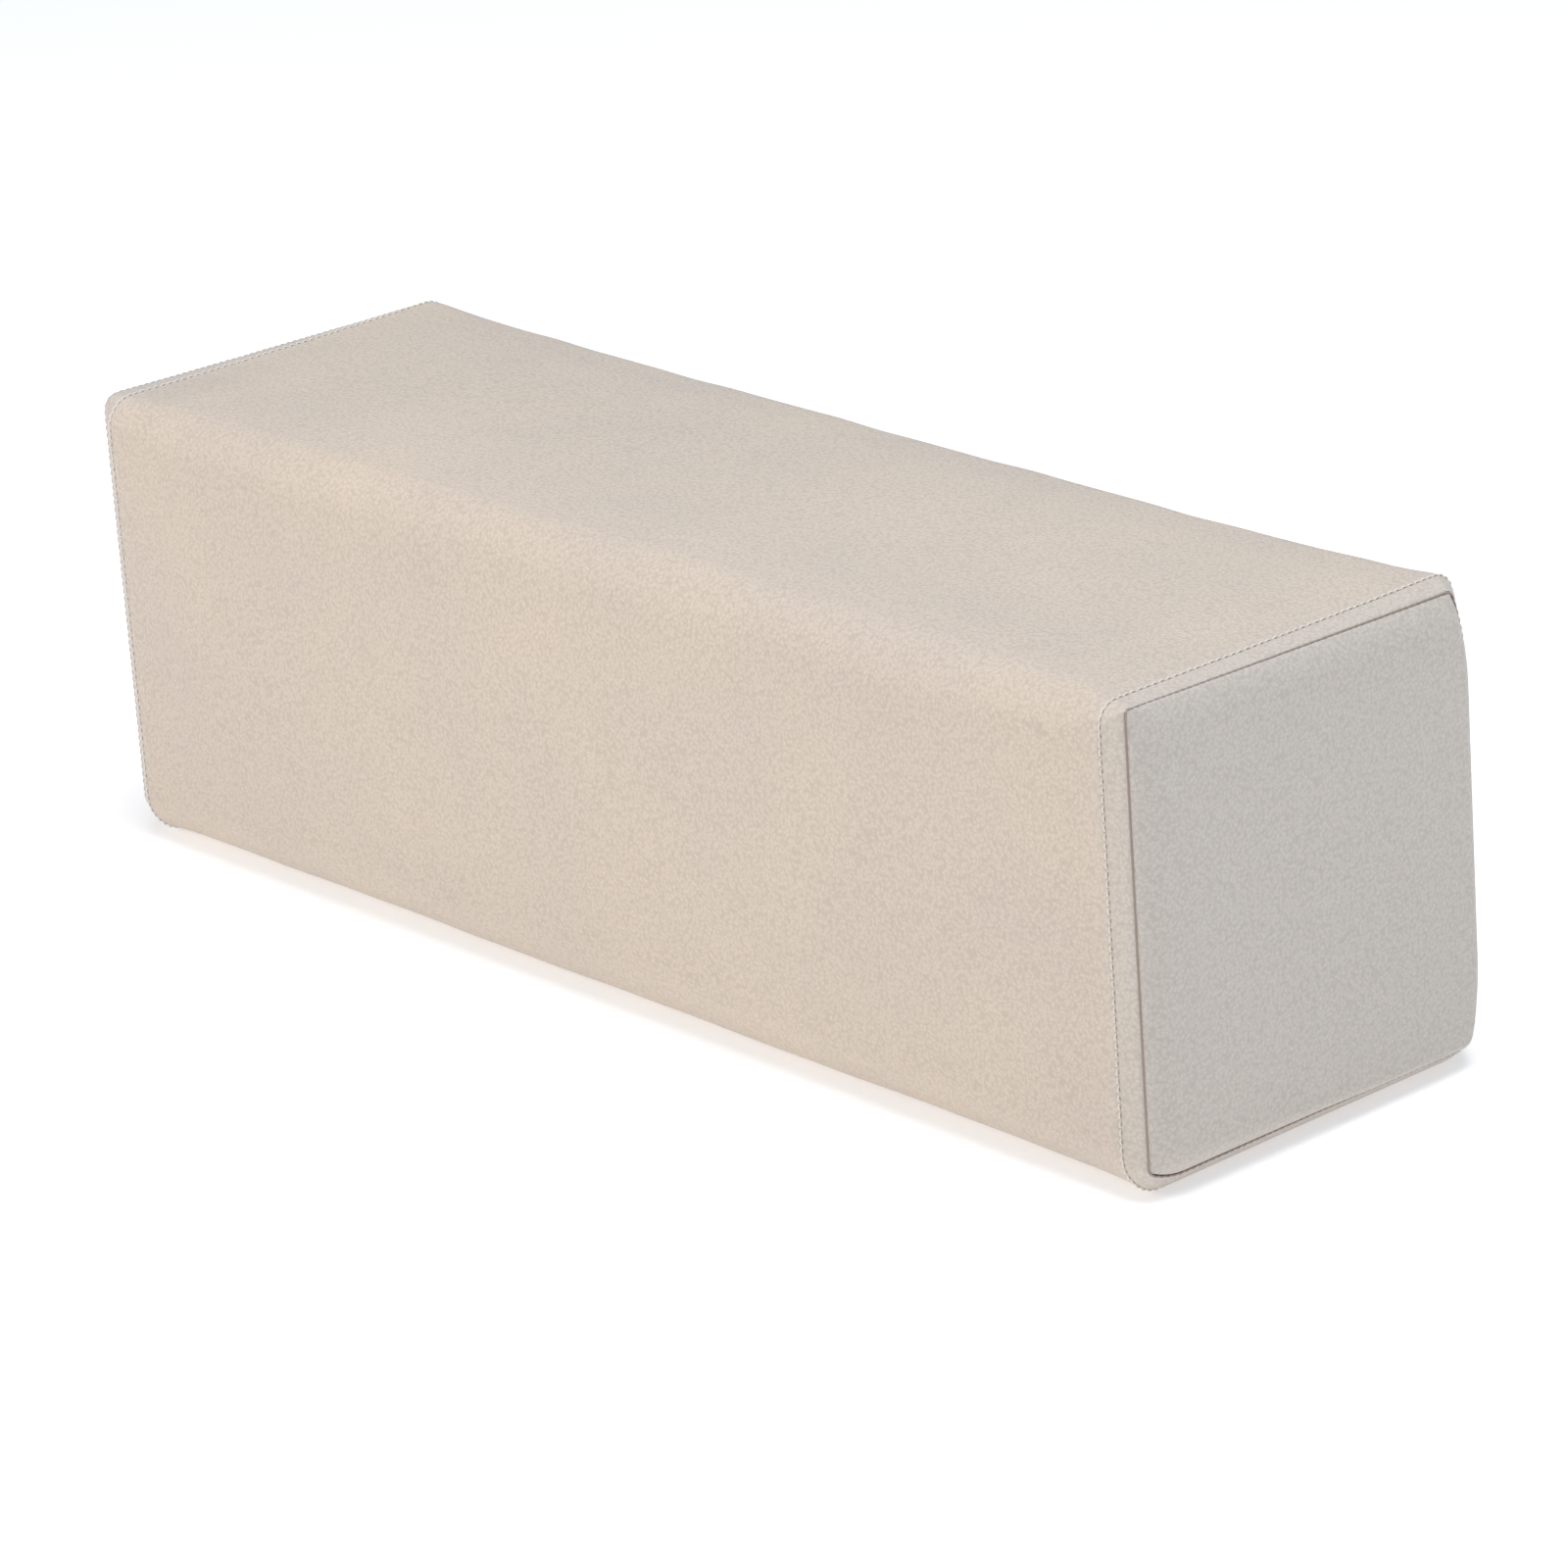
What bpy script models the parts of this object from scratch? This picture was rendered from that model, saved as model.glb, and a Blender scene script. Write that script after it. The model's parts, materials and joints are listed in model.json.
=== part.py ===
"""A rectangular bolster pillow: foam and wadding in a liner, inside a zipped leatherette cover.

Frame: metres, +Z up, +X along the bolster, the front face looks along -Y and the zip is in the
back face. The origin is the middle of the base. "Depth" is measured inwards from the outer skin.
"""
from math import cos, hypot, pi, radians, sin

import bmesh
import bpy
from mathutils import Vector

# Outer shape
LENGTH = 0.500
WIDTH = 0.150
HEIGHT = 0.157
LONG_EDGE_RADIUS = 0.016
END_EDGE_RADIUS = 0.012
SEAM_ANGLE = radians(38)        # place of the seam on the rounded end edge, 0 on the long faces

# Sheets and fillings
SKIN = 0.0012                   # leatherette
PADDING = 0.0030                # thin padding behind the leatherette
LINER = 0.0005
WADDING = 0.0040
CLEARANCE = 0.0003              # between any two touching pieces

# Seams
THREAD = 0.0007                 # thread diameter
THREAD_RECESS = 0.0001          # topstitching lies this far below the skin
SEAM_THREAD_DEPTH = 0.0011      # of the seam thread's centre
STITCH_INSET = 0.0080           # from the seam to the topstitching
STITCH_MARGIN = 0.0020          # leatherette turned in beyond that topstitching

# Zip
ZIP_RISE = 0.0200               # of its centre line above the rounded lower edge
ZIP_MARGIN = 0.0300             # from each end of the bolster to the slot in the cover
SLOT_CLEARANCE = 0.0010         # from the slider to each side of the slot in the cover
ZIP_STITCH_INSET = 0.0030       # from the slot's edge to its topstitching
ZIP_STITCH_MARGIN = 0.0050      # leatherette turned in beyond that topstitching
COIL_WIDTH = 0.0060             # of the closed pair of coils
COIL_HEIGHT = 0.0020
TAPE_WIDTH = 0.0125
TAPE_THICKNESS = 0.0006
TAPE_TAIL = 0.0100              # of tape beyond each end of the slot
STOP_LENGTH = 0.0024
BOTTOM_STOP_LENGTH = 0.0030

# Slider and its pull
SLIDER_LENGTH = 0.0105
SLIDER_WALL = 0.0012            # side walls that hold the coils together
SLIDER_TOP = 0.0011             # thickness of the outer plate
SLIDER_BASE = 0.0008            # thickness of the inner plate
POST_LENGTH = 0.0040
POST_WIDTH = 0.0020
BAIL_WIDTH = 0.0022
BAIL_LENGTH = 0.0066
BAIL_THICKNESS = 0.0010
PULL_THICKNESS = 0.0010
PULL_WIDTH = 0.0060
PULL_LENGTH = 0.0280
PULL_CLEARANCE = 0.0004         # round the pull's crossbar

CORNER_STEPS = 5                # segments in each rounded long edge
ARC_STEP = radians(15)          # of the rounded end edges
THREAD_SIDES = 6
SHARP = radians(38)             # edges sharper than this stay crisp when shaded

# Grooves that hold the threads, and the leatherette turned in at the seams and round the slot
GROOVE_WIDTH = THREAD + 2 * CLEARANCE
GROOVE_DEPTH = THREAD + CLEARANCE + THREAD_RECESS
ALLOWANCE = STITCH_INSET + STITCH_MARGIN
ZIP_HEM = ZIP_STITCH_INSET + ZIP_STITCH_MARGIN

# Depths, from the outside in
HEM_DEPTH = 2 * SKIN                                    # inner side of a turned-in hem
FLANGE_DEPTH = HEM_DEPTH + CLEARANCE                    # end panel's turned-in part
PADDING_DEPTH = SKIN + CLEARANCE
TAPE_DEPTH = HEM_DEPTH + CLEARANCE
COIL_DEPTH = HEM_DEPTH - COIL_HEIGHT
SLIDER_BASE_DEPTH = TAPE_DEPTH + TAPE_THICKNESS + CLEARANCE
SLIDER_TOP_DEPTH = COIL_DEPTH - CLEARANCE               # inner side of the slider's outer plate
LINER_DEPTH = max(
    FLANGE_DEPTH + SKIN,
    PADDING_DEPTH + PADDING,
    SLIDER_BASE_DEPTH + SLIDER_BASE,
) + CLEARANCE
WADDING_DEPTH = LINER_DEPTH + LINER + CLEARANCE
CORE_DEPTH = WADDING_DEPTH + WADDING + CLEARANCE

SEAM_ARC = SEAM_ANGLE * END_EDGE_RADIUS                 # from the seam to the long faces
MIDDLE = SEAM_ARC + LENGTH / 2 - END_EDGE_RADIUS        # from the seam to mid-length
FACE = (SEAM_ANGLE - pi / 2) * END_EDGE_RADIUS          # from the seam to the flat end face

# Along the zip. It closes towards -X, and the slider rests closed against the top stops.
ZIP_HEIGHT = LONG_EDGE_RADIUS + ZIP_RISE
SLOT_END = LENGTH / 2 - ZIP_MARGIN
TOP_STOP_START = -SLOT_END + CLEARANCE
SLIDER_START = TOP_STOP_START + STOP_LENGTH + CLEARANCE
SLIDER_MIDDLE = SLIDER_START + SLIDER_LENGTH / 2
COIL_START = SLIDER_START + POST_LENGTH + CLEARANCE
BOTTOM_STOP_START = SLOT_END - CLEARANCE - BOTTOM_STOP_LENGTH
COIL_END = BOTTOM_STOP_START - CLEARANCE
SLIDER_HALF = COIL_WIDTH / 2 + CLEARANCE + SLIDER_WALL
SLOT_HALF = SLIDER_HALF + SLOT_CLEARANCE
SLIDER_TOP_FACE = SLIDER_TOP_DEPTH - SLIDER_TOP         # negative, so it stands proud
PULL_DEPTH = SLIDER_TOP_FACE - PULL_CLEARANCE - PULL_THICKNESS / 2
BAIL_INNER = PULL_DEPTH - PULL_THICKNESS / 2 - PULL_CLEARANCE
BAIL_TOP = BAIL_INNER - BAIL_THICKNESS
PULL_WINDOW = hypot(BAIL_LENGTH / 2, PULL_DEPTH - BAIL_TOP) + PULL_CLEARANCE

CREAM = (0.69, 0.58, 0.48, 1)


def material(name, colour, roughness, metallic=0.0):
    """Give a plain Principled BSDF material, made once for each name."""
    found = bpy.data.materials.get(name)
    if found:
        return found
    made = bpy.data.materials.new(name)
    made.use_nodes = True
    shader = made.node_tree.nodes["Principled BSDF"]
    shader.inputs["Base Color"].default_value = colour
    shader.inputs["Roughness"].default_value = roughness
    shader.inputs["Metallic"].default_value = metallic
    return made


def leatherette():
    return material("leatherette", CREAM, 0.5)


def padding():
    return material("padding", (0.75, 0.74, 0.70, 1), 0.95)


def liner_cloth():
    return material("liner cloth", (0.72, 0.70, 0.66, 1), 0.9)


def wadding():
    return material("wadding", (0.86, 0.86, 0.85, 1), 0.98)


def foam():
    return material("foam", (0.80, 0.72, 0.50, 1), 0.95)


def seam_thread():
    return material("seam thread", (0.26, 0.21, 0.17, 1), 0.8)


def top_thread():
    return material("topstitch thread", (0.64, 0.54, 0.44, 1), 0.7)


def zip_tape():
    return material("zip tape", (0.58, 0.50, 0.41, 1), 0.85)


def coil_nylon():
    return material("coil nylon", (0.55, 0.47, 0.38, 1), 0.4)


def zip_metal():
    return material("zip metal", (0.62, 0.60, 0.57, 1), 0.3, 1.0)


def finish_object(name, bm, look, origin=(0, 0, 0)):
    """Turn a bmesh into a named object with its material and smooth round faces."""
    bmesh.ops.recalc_face_normals(bm, faces=bm.faces)
    mesh = bpy.data.meshes.new(name)
    bm.to_mesh(mesh)
    bm.free()
    mesh.shade_smooth()
    mesh.set_sharp_from_angle(angle=SHARP)
    mesh.materials.append(look)
    made = bpy.data.objects.new(name, mesh)
    made.location = origin
    bpy.context.collection.objects.link(made)
    return made


# The section of a sheet is drawn as (x, inset) points: x along the bolster, inset from its sides.


def edge_point(angle, depth):
    """Give the point at an angle round the rounded end edge, at a depth under the skin."""
    radius = max(END_EDGE_RADIUS - depth, 0.0)
    centre = max(END_EDGE_RADIUS, depth)
    return LENGTH / 2 - centre + radius * sin(angle), centre - radius * cos(angle)


def skin_point(distance, depth):
    """Give the point at a distance along the skin from the seam, positive towards mid-length."""
    if distance > SEAM_ARC:
        x, inset = edge_point(0, depth)
        return x - (distance - SEAM_ARC), inset
    return edge_point(SEAM_ANGLE - distance / END_EDGE_RADIUS, depth)


def run(start, stop, depth):
    """Follow the skin at one depth between two distances, with a point at each arc step."""
    steps = round(pi / 2 / ARC_STEP)
    arc = [(SEAM_ANGLE - i * ARC_STEP) * END_EDGE_RADIUS for i in range(steps + 1)]
    low, high = sorted((start, stop))
    between = sorted((d for d in arc if low + 1e-5 < d < high - 1e-5), reverse=start > stop)
    return [skin_point(d, depth) for d in [start, *between, stop]]


def mirrored(points):
    return [(-x, inset) for x, inset in reversed(points)]


def skin_gap(gap, depth):
    """Give the distance along the skin that leaves a gap at a depth under the rounded edge."""
    return gap * END_EDGE_RADIUS / max(END_EDGE_RADIUS - depth, CLEARANCE)


def sweep(name, profile, look, closed=True):
    """Carry a profile once round the bolster's section: straight sides and rounded corners."""
    bm = bmesh.new()
    verts = [bm.verts.new((x, inset - WIDTH / 2, LONG_EDGE_RADIUS)) for x, inset in profile]
    pairs = list(zip(verts, verts[1:]))
    if closed:
        pairs.append((verts[-1], verts[0]))
    edges = [bm.edges.new(pair) for pair in pairs]
    corner_y = WIDTH / 2 - LONG_EDGE_RADIUS
    corner_z = HEIGHT - LONG_EDGE_RADIUS
    rise = corner_z - LONG_EDGE_RADIUS
    legs = (
        ((0, 0, rise), (0, -corner_y, corner_z)),
        ((0, 2 * corner_y, 0), (0, corner_y, corner_z)),
        ((0, 0, -rise), (0, corner_y, LONG_EDGE_RADIUS)),
        ((0, -2 * corner_y, 0), (0, -corner_y, LONG_EDGE_RADIUS)),
    )
    for travel, centre in legs:
        straight = bmesh.ops.extrude_edge_only(bm, edges=edges)["geom"]
        moved = [g for g in straight if isinstance(g, bmesh.types.BMVert)]
        bmesh.ops.translate(bm, verts=moved, vec=travel)
        edges = [g for g in straight if isinstance(g, bmesh.types.BMEdge)]
        turned = bmesh.ops.spin(
            bm, geom=moved + edges, cent=centre, axis=(1, 0, 0), angle=-pi / 2, steps=CORNER_STEPS
        )["geom_last"]
        edges = [g for g in turned if isinstance(g, bmesh.types.BMEdge)]
    bmesh.ops.remove_doubles(bm, verts=bm.verts, dist=1e-6)
    if not closed:
        rims = [edge for edge in bm.edges if edge.is_boundary]
        bmesh.ops.holes_fill(bm, edges=rims, sides=0)
    return finish_object(name, bm, look)


def tube_sheet(name, depth, thickness, look, stop):
    """Make a sheet round the four long sides, up to a distance from the seam at each end."""
    outer = run(MIDDLE, stop, depth)[1:]
    inner = run(stop, MIDDLE, depth + thickness)[:-1]
    half = outer + inner
    return sweep(name, half + mirrored(half), look)


def end_sheet(name, side, depth, thickness, look, stop):
    """Make a sheet over one end face, turned round its edge as far as a distance from the seam."""
    profile = run(FACE, stop, depth) + run(stop, FACE, depth + thickness)
    return sweep(name, [(side * x, inset) for x, inset in profile], look, closed=False)


def thread_ring(name, side, distance, depth, look):
    """Make a thread round the whole section, at a distance from the seam and a depth."""
    x, inset = skin_point(distance, depth)
    turns = [2 * pi * i / THREAD_SIDES for i in range(THREAD_SIDES)]
    profile = [
        (side * (x + THREAD / 2 * cos(turn)), inset + THREAD / 2 * sin(turn)) for turn in turns
    ]
    return sweep(name, profile, look)


# The zip is drawn in its own frame: x along the bolster, depth under the back face, and
# height above the zip's centre line.


def zip_place(x, depth, height):
    return x, WIDTH / 2 - depth, ZIP_HEIGHT + height


def prism(name, outline, low, high, look=None, origin=(0, 0, 0)):
    """Raise an outline of (x, height) points between two depths under the back face."""
    bm = bmesh.new()
    ring = [bm.verts.new(Vector(zip_place(x, low, z)) - Vector(origin)) for x, z in outline]
    face = bm.faces.new(ring)
    raised = bmesh.ops.extrude_face_region(bm, geom=[face])["geom"]
    verts = [g for g in raised if isinstance(g, bmesh.types.BMVert)]
    bmesh.ops.translate(bm, verts=verts, vec=(0, low - high, 0))
    return finish_object(name, bm, look or zip_metal(), origin)


def rectangle(x_low, x_high, z_low, z_high):
    return [(x_low, z_low), (x_high, z_low), (x_high, z_high), (x_low, z_high)]


def slot_outline(margin):
    """Give the slot's rectangle, grown by a margin."""
    half_x = SLOT_END + margin
    half_z = SLOT_HALF + margin
    return rectangle(-half_x, half_x, -half_z, half_z)


def slot_frame(name, margin, width, low, high, look):
    """Make a rectangular ring round the slot, centred at a margin from its edge."""
    bm = bmesh.new()
    outer = [bm.verts.new(zip_place(x, low, z)) for x, z in slot_outline(margin + width / 2)]
    inner = [bm.verts.new(zip_place(x, low, z)) for x, z in slot_outline(margin - width / 2)]
    for i in range(4):
        j = (i + 1) % 4
        bm.faces.new((outer[i], outer[j], inner[j], inner[i]))
    raised = bmesh.ops.extrude_face_region(bm, geom=list(bm.faces))["geom"]
    verts = [g for g in raised if isinstance(g, bmesh.types.BMVert)]
    bmesh.ops.translate(bm, verts=verts, vec=(0, low - high, 0))
    return finish_object(name, bm, look)


def combine(target, tool, operation):
    """Add or cut a tool with a Boolean, and keep the tool hidden as a wire shape."""
    modifier = target.modifiers.new(tool.name, "BOOLEAN")
    modifier.operation = operation
    modifier.solver = "EXACT"
    modifier.object = tool
    tool.hide_render = True
    tool.display_type = "WIRE"


def round_edges(target, width):
    """Ease an object's crisp edges."""
    bevel = target.modifiers.new("eased edges", "BEVEL")
    bevel.width = width
    bevel.segments = 2
    bevel.limit_method = "ANGLE"
    bevel.angle_limit = SHARP


def filling():
    """Foam block, wadding and liner, from the inside out."""
    solid = run(FACE, MIDDLE, CORE_DEPTH)[:-1]
    sweep("foam_core", solid + mirrored(solid), foam(), closed=False)
    layers = (
        ("wadding", WADDING_DEPTH, WADDING, wadding()),
        ("liner", LINER_DEPTH, LINER, liner_cloth()),
    )
    for name, depth, thickness, look in layers:
        half_gap = skin_gap(CLEARANCE / 2, depth + thickness)
        tube_sheet(f"{name}_wrap", depth, thickness, look, half_gap)
        end_sheet(f"{name}_end_left", -1, depth, thickness, look, -half_gap)
        end_sheet(f"{name}_end_right", 1, depth, thickness, look, -half_gap)


def cover_wrap():
    """Long panel with a turned hem and topstitching groove at each end, and a slot for the zip."""
    near = STITCH_INSET - GROOVE_WIDTH / 2
    far = STITCH_INSET + GROOVE_WIDTH / 2
    outer = run(MIDDLE, far, 0)[1:]
    groove = run(far, near, GROOVE_DEPTH)
    lip = run(near, GROOVE_WIDTH / 2, 0)
    hem = run(GROOVE_WIDTH / 2, ALLOWANCE, HEM_DEPTH)
    inner = run(ALLOWANCE, MIDDLE, SKIN)[:-1]
    half = outer + groove + lip + hem + inner
    wrap = sweep("cover_wrap", half + mirrored(half), leatherette())
    hem_frame = prism("slot_hem", slot_outline(ZIP_HEM), SKIN / 2, HEM_DEPTH, leatherette())
    slot = prism("slot_cut", slot_outline(0), -SKIN, HEM_DEPTH + SKIN, leatherette())
    groove_cut = slot_frame(
        "slot_stitch_groove", ZIP_STITCH_INSET, GROOVE_WIDTH, -SKIN, GROOVE_DEPTH, leatherette()
    )
    combine(wrap, hem_frame, "UNION")
    combine(wrap, slot, "DIFFERENCE")
    combine(wrap, groove_cut, "DIFFERENCE")


def cover_ends():
    """End panels, whose edges turn in at the seam and lie under the wrap's hems."""
    leg = -GROOVE_WIDTH / 2
    leg_inner = leg - skin_gap(SKIN, FLANGE_DEPTH)
    outer = run(FACE, leg, 0)
    flange = run(leg, ALLOWANCE, FLANGE_DEPTH) + run(ALLOWANCE, leg_inner, FLANGE_DEPTH + SKIN)
    inner = run(leg_inner, FACE, SKIN)
    profile = outer + flange + inner
    pad_stop = leg_inner - skin_gap(CLEARANCE, PADDING_DEPTH + PADDING)
    for side, word in ((-1, "left"), (1, "right")):
        turned = [(side * x, inset) for x, inset in profile]
        sweep(f"end_panel_{word}", turned, leatherette(), closed=False)
        end_sheet(f"end_padding_{word}", side, PADDING_DEPTH, PADDING, padding(), pad_stop)


def cover_padding():
    """Padding behind the wrap, between the hems, with a pocket cut for the zip."""
    pad = tube_sheet("cover_padding", PADDING_DEPTH, PADDING, padding(), ALLOWANCE + CLEARANCE)
    margin = max(ZIP_HEM, TAPE_TAIL) + CLEARANCE
    half_z = max(SLOT_HALF + ZIP_HEM, TAPE_WIDTH + CLEARANCE) + CLEARANCE
    outline = rectangle(-SLOT_END - margin, SLOT_END + margin, -half_z, half_z)
    pocket = prism("padding_pocket", outline, 0, LINER_DEPTH, padding())
    combine(pad, pocket, "DIFFERENCE")


def threads():
    """Seam threads in the gap beside each end panel, and topstitching in the wrap's grooves."""
    depth = THREAD_RECESS + THREAD / 2
    for side, word in ((-1, "left"), (1, "right")):
        thread_ring(f"seam_thread_{word}", side, 0, SEAM_THREAD_DEPTH, seam_thread())
        thread_ring(f"topstitch_{word}", side, STITCH_INSET, depth, top_thread())
    bottom = THREAD_RECESS + THREAD
    slot_frame("zip_topstitch", ZIP_STITCH_INSET, THREAD, THREAD_RECESS, bottom, top_thread())


def zip_chain():
    """Tapes, coils and stops, each half kept a clearance from the centre line."""
    inner = CLEARANCE / 2
    parted = POST_WIDTH / 2 + CLEARANCE
    tail = SLOT_END + TAPE_TAIL
    tape = [
        (-tail, parted),
        (COIL_START, parted),
        (COIL_START, inner),
        (tail, inner),
        (tail, TAPE_WIDTH),
        (-tail, TAPE_WIDTH),
    ]
    coil = rectangle(COIL_START, COIL_END, inner, COIL_WIDTH / 2)
    stop = rectangle(TOP_STOP_START, TOP_STOP_START + STOP_LENGTH, parted, COIL_WIDTH / 2)
    for side, word in ((1, "upper"), (-1, "lower")):
        pieces = (
            ("zip_tape", tape, TAPE_DEPTH, TAPE_DEPTH + TAPE_THICKNESS, zip_tape()),
            ("zip_coil", coil, COIL_DEPTH, HEM_DEPTH, coil_nylon()),
            ("zip_top_stop", stop, COIL_DEPTH, HEM_DEPTH, zip_metal()),
        )
        for name, outline, low, high, look in pieces:
            half = [(x, side * z) for x, z in outline]
            made = prism(f"{name}_{word}", half, low, high, look)
            if name != "zip_tape":
                round_edges(made, COIL_HEIGHT / 5)
    half_z = COIL_WIDTH / 2
    end = BOTTOM_STOP_START + BOTTOM_STOP_LENGTH
    outline = rectangle(BOTTOM_STOP_START, end, -half_z, half_z)
    bottom = prism("zip_bottom_stop", outline, COIL_DEPTH, HEM_DEPTH, zip_metal())
    round_edges(bottom, COIL_HEIGHT / 5)


def zip_slider():
    """Slider: outer plate with side walls, inner plate on a post, and a bail for the pull."""
    origin = zip_place(SLIDER_MIDDLE, 0, 0)
    start = SLIDER_START
    end = start + SLIDER_LENGTH
    nose = SLIDER_WALL
    outline = [
        (start, -SLIDER_HALF + nose),
        (start + nose, -SLIDER_HALF),
        (end, -SLIDER_HALF),
        (end, SLIDER_HALF),
        (start + nose, SLIDER_HALF),
        (start, SLIDER_HALF - nose),
    ]
    body = prism("zip_slider", outline, SLIDER_TOP_FACE, SLIDER_TOP_DEPTH, zip_metal(), origin)
    wall = rectangle(start + nose, end, SLIDER_HALF - SLIDER_WALL, SLIDER_HALF)
    post = rectangle(start, start + POST_LENGTH, -POST_WIDTH / 2, POST_WIDTH / 2)
    bail = rectangle(
        SLIDER_MIDDLE - BAIL_LENGTH / 2, SLIDER_MIDDLE + BAIL_LENGTH / 2,
        -BAIL_WIDTH / 2, BAIL_WIDTH / 2,
    )
    eye = rectangle(
        SLIDER_MIDDLE - BAIL_LENGTH / 2 + BAIL_THICKNESS,
        SLIDER_MIDDLE + BAIL_LENGTH / 2 - BAIL_THICKNESS,
        -BAIL_WIDTH, BAIL_WIDTH,
    )
    inside = (SLIDER_TOP_DEPTH + SLIDER_TOP_FACE) / 2
    base_end = SLIDER_BASE_DEPTH + SLIDER_BASE
    tools = (
        ("slider_wall_upper", wall, inside, HEM_DEPTH, "UNION"),
        ("slider_wall_lower", [(x, -z) for x, z in wall], inside, HEM_DEPTH, "UNION"),
        ("slider_post", post, inside, SLIDER_BASE_DEPTH + SLIDER_BASE / 2, "UNION"),
        ("slider_base", outline, SLIDER_BASE_DEPTH, base_end, "UNION"),
        ("slider_bail", bail, BAIL_TOP, inside, "UNION"),
        ("slider_eye", eye, BAIL_INNER, SLIDER_TOP_FACE, "DIFFERENCE"),
    )
    for name, shape, low, high, operation in tools:
        tool = prism(name, shape, low, high, zip_metal(), origin)
        combine(body, tool, operation)
    return body


def zip_pull():
    """Pull tab, turning on its crossbar under the slider's bail."""
    origin = zip_place(SLIDER_MIDDLE, PULL_DEPTH, 0)
    half = PULL_WIDTH / 2
    low = PULL_DEPTH - PULL_THICKNESS / 2
    high = PULL_DEPTH + PULL_THICKNESS / 2
    start = SLIDER_MIDDLE - PULL_THICKNESS / 2
    end = SLIDER_MIDDLE + PULL_LENGTH
    corner = half / 2
    outline = [
        (start, -half),
        (end - corner, -half),
        (end, -half + corner),
        (end, half - corner),
        (end - corner, half),
        (start, half),
    ]
    tab = prism("zip_pull", outline, low, high, zip_metal(), origin)
    window_z = BAIL_WIDTH / 2 + PULL_CLEARANCE
    window = rectangle(
        SLIDER_MIDDLE + PULL_THICKNESS / 2, SLIDER_MIDDLE + PULL_WINDOW, -window_z, window_z
    )
    cut = prism(
        "pull_window", window, low - PULL_THICKNESS, high + PULL_THICKNESS, zip_metal(), origin
    )
    combine(tab, cut, "DIFFERENCE")
    round_edges(tab, PULL_THICKNESS / 4)


for old in list(bpy.data.objects):
    bpy.data.objects.remove(old, do_unlink=True)

filling()
cover_wrap()
cover_ends()
cover_padding()
threads()
zip_chain()
zip_slider()
zip_pull()
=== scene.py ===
import json
from math import acos, cos, pi, radians, sin

import bmesh
import bpy
import numpy as np
from mathutils import Matrix, Vector
from mathutils.bvhtree import BVHTree


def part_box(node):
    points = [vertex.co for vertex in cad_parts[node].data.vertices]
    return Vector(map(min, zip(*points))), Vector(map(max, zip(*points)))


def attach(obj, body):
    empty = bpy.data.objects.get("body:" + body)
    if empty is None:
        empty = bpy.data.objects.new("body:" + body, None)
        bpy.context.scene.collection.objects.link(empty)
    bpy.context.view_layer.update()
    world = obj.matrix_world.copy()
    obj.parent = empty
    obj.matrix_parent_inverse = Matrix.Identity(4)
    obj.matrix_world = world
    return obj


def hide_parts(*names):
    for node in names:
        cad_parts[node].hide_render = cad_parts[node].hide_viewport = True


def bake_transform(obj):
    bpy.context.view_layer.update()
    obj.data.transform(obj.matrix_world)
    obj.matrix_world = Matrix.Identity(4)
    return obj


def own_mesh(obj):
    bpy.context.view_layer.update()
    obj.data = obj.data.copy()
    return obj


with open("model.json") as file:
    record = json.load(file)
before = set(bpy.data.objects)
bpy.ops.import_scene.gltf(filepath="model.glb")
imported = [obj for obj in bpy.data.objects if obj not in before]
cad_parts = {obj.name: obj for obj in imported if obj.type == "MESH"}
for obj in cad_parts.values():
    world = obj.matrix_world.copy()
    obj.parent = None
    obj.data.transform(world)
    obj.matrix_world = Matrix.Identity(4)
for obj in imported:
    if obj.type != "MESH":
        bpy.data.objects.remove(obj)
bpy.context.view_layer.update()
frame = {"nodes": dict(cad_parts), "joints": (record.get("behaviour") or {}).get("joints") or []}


# ---------------------------------------------------------------- Form of the filled bolster
# The foam block fills the sewn cover tight, so every layer takes one shape: straight long faces,
# round long edges that sharpen into the corners of each end seam, and a soft shoulder beside the
# seam. The layers are drawn on a plain block first and then taken to that shape.

_, wrap_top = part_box("cover_wrap")
_, panel_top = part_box("end_panel_right")
HALF_LENGTH = panel_top.x
HALF_WIDTH = wrap_top.y
MID_HEIGHT = wrap_top.z / 2
LONG_EDGE = 0.0145  # radius of the top long edges at mid-length
BASE_EDGE = 0.0195  # of the base long edges, which the weight rounds more
SEAM_CORNER = 0.0013  # radius of the right end seam's top corners
LEFT_CORNER = 0.0055  # the same, at the left end, which is drawn in more
BASE_CORNER = 0.0012  # of both end seams' front corners at the base
BACK_CORNER = 0.0060  # of their back corners at the base
EDGE_GROWTH = 0.0140  # how soon the top long edges reach their full radius
BASE_GROWTH = 0.0070
SEAM_SETBACK = 0.0049  # of the end seam from the end face
SEAM_X = HALF_LENGTH - SEAM_SETBACK
FRONT_INSET = 0.0031  # of the right end seam from the front
LEFT_INSET = 0.0047  # of the left end seam from the front
BACK_INSET = 0.0042
TOP_INSET = 0.0016  # of the end seam from the top, at its middle
TOP_SLANT = 0.0014  # more at the back and less at the front
BASE_INSET = 0.0066
BASE_DROP = 0.0010  # less at the back
BASE_LIFT = 0.0041  # more at the front corner, which stands off the floor
LIFT_RUN = 0.0150  # from that corner towards the back
LIFT_LENGTH = 0.0220  # and along the bolster
SHOULDER = 0.0090  # length over which the wrap rises from the seam
BASE_SHOULDER = 0.0100
SLOPE = 1.25  # the shoulder is nearly straight, and breaks at the stitches
BACK_PINCH = 0.0062  # of the end seams' top back corners, towards the front
BASE_PINCH = 0.0040
PINCH_RUN = 0.0300  # height over which the back seam bows out from its corner
PINCH_SHOULDER = 0.0160
SIDE_CROWN = 0.0008
TOP_CROWN = 0.0006
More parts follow.
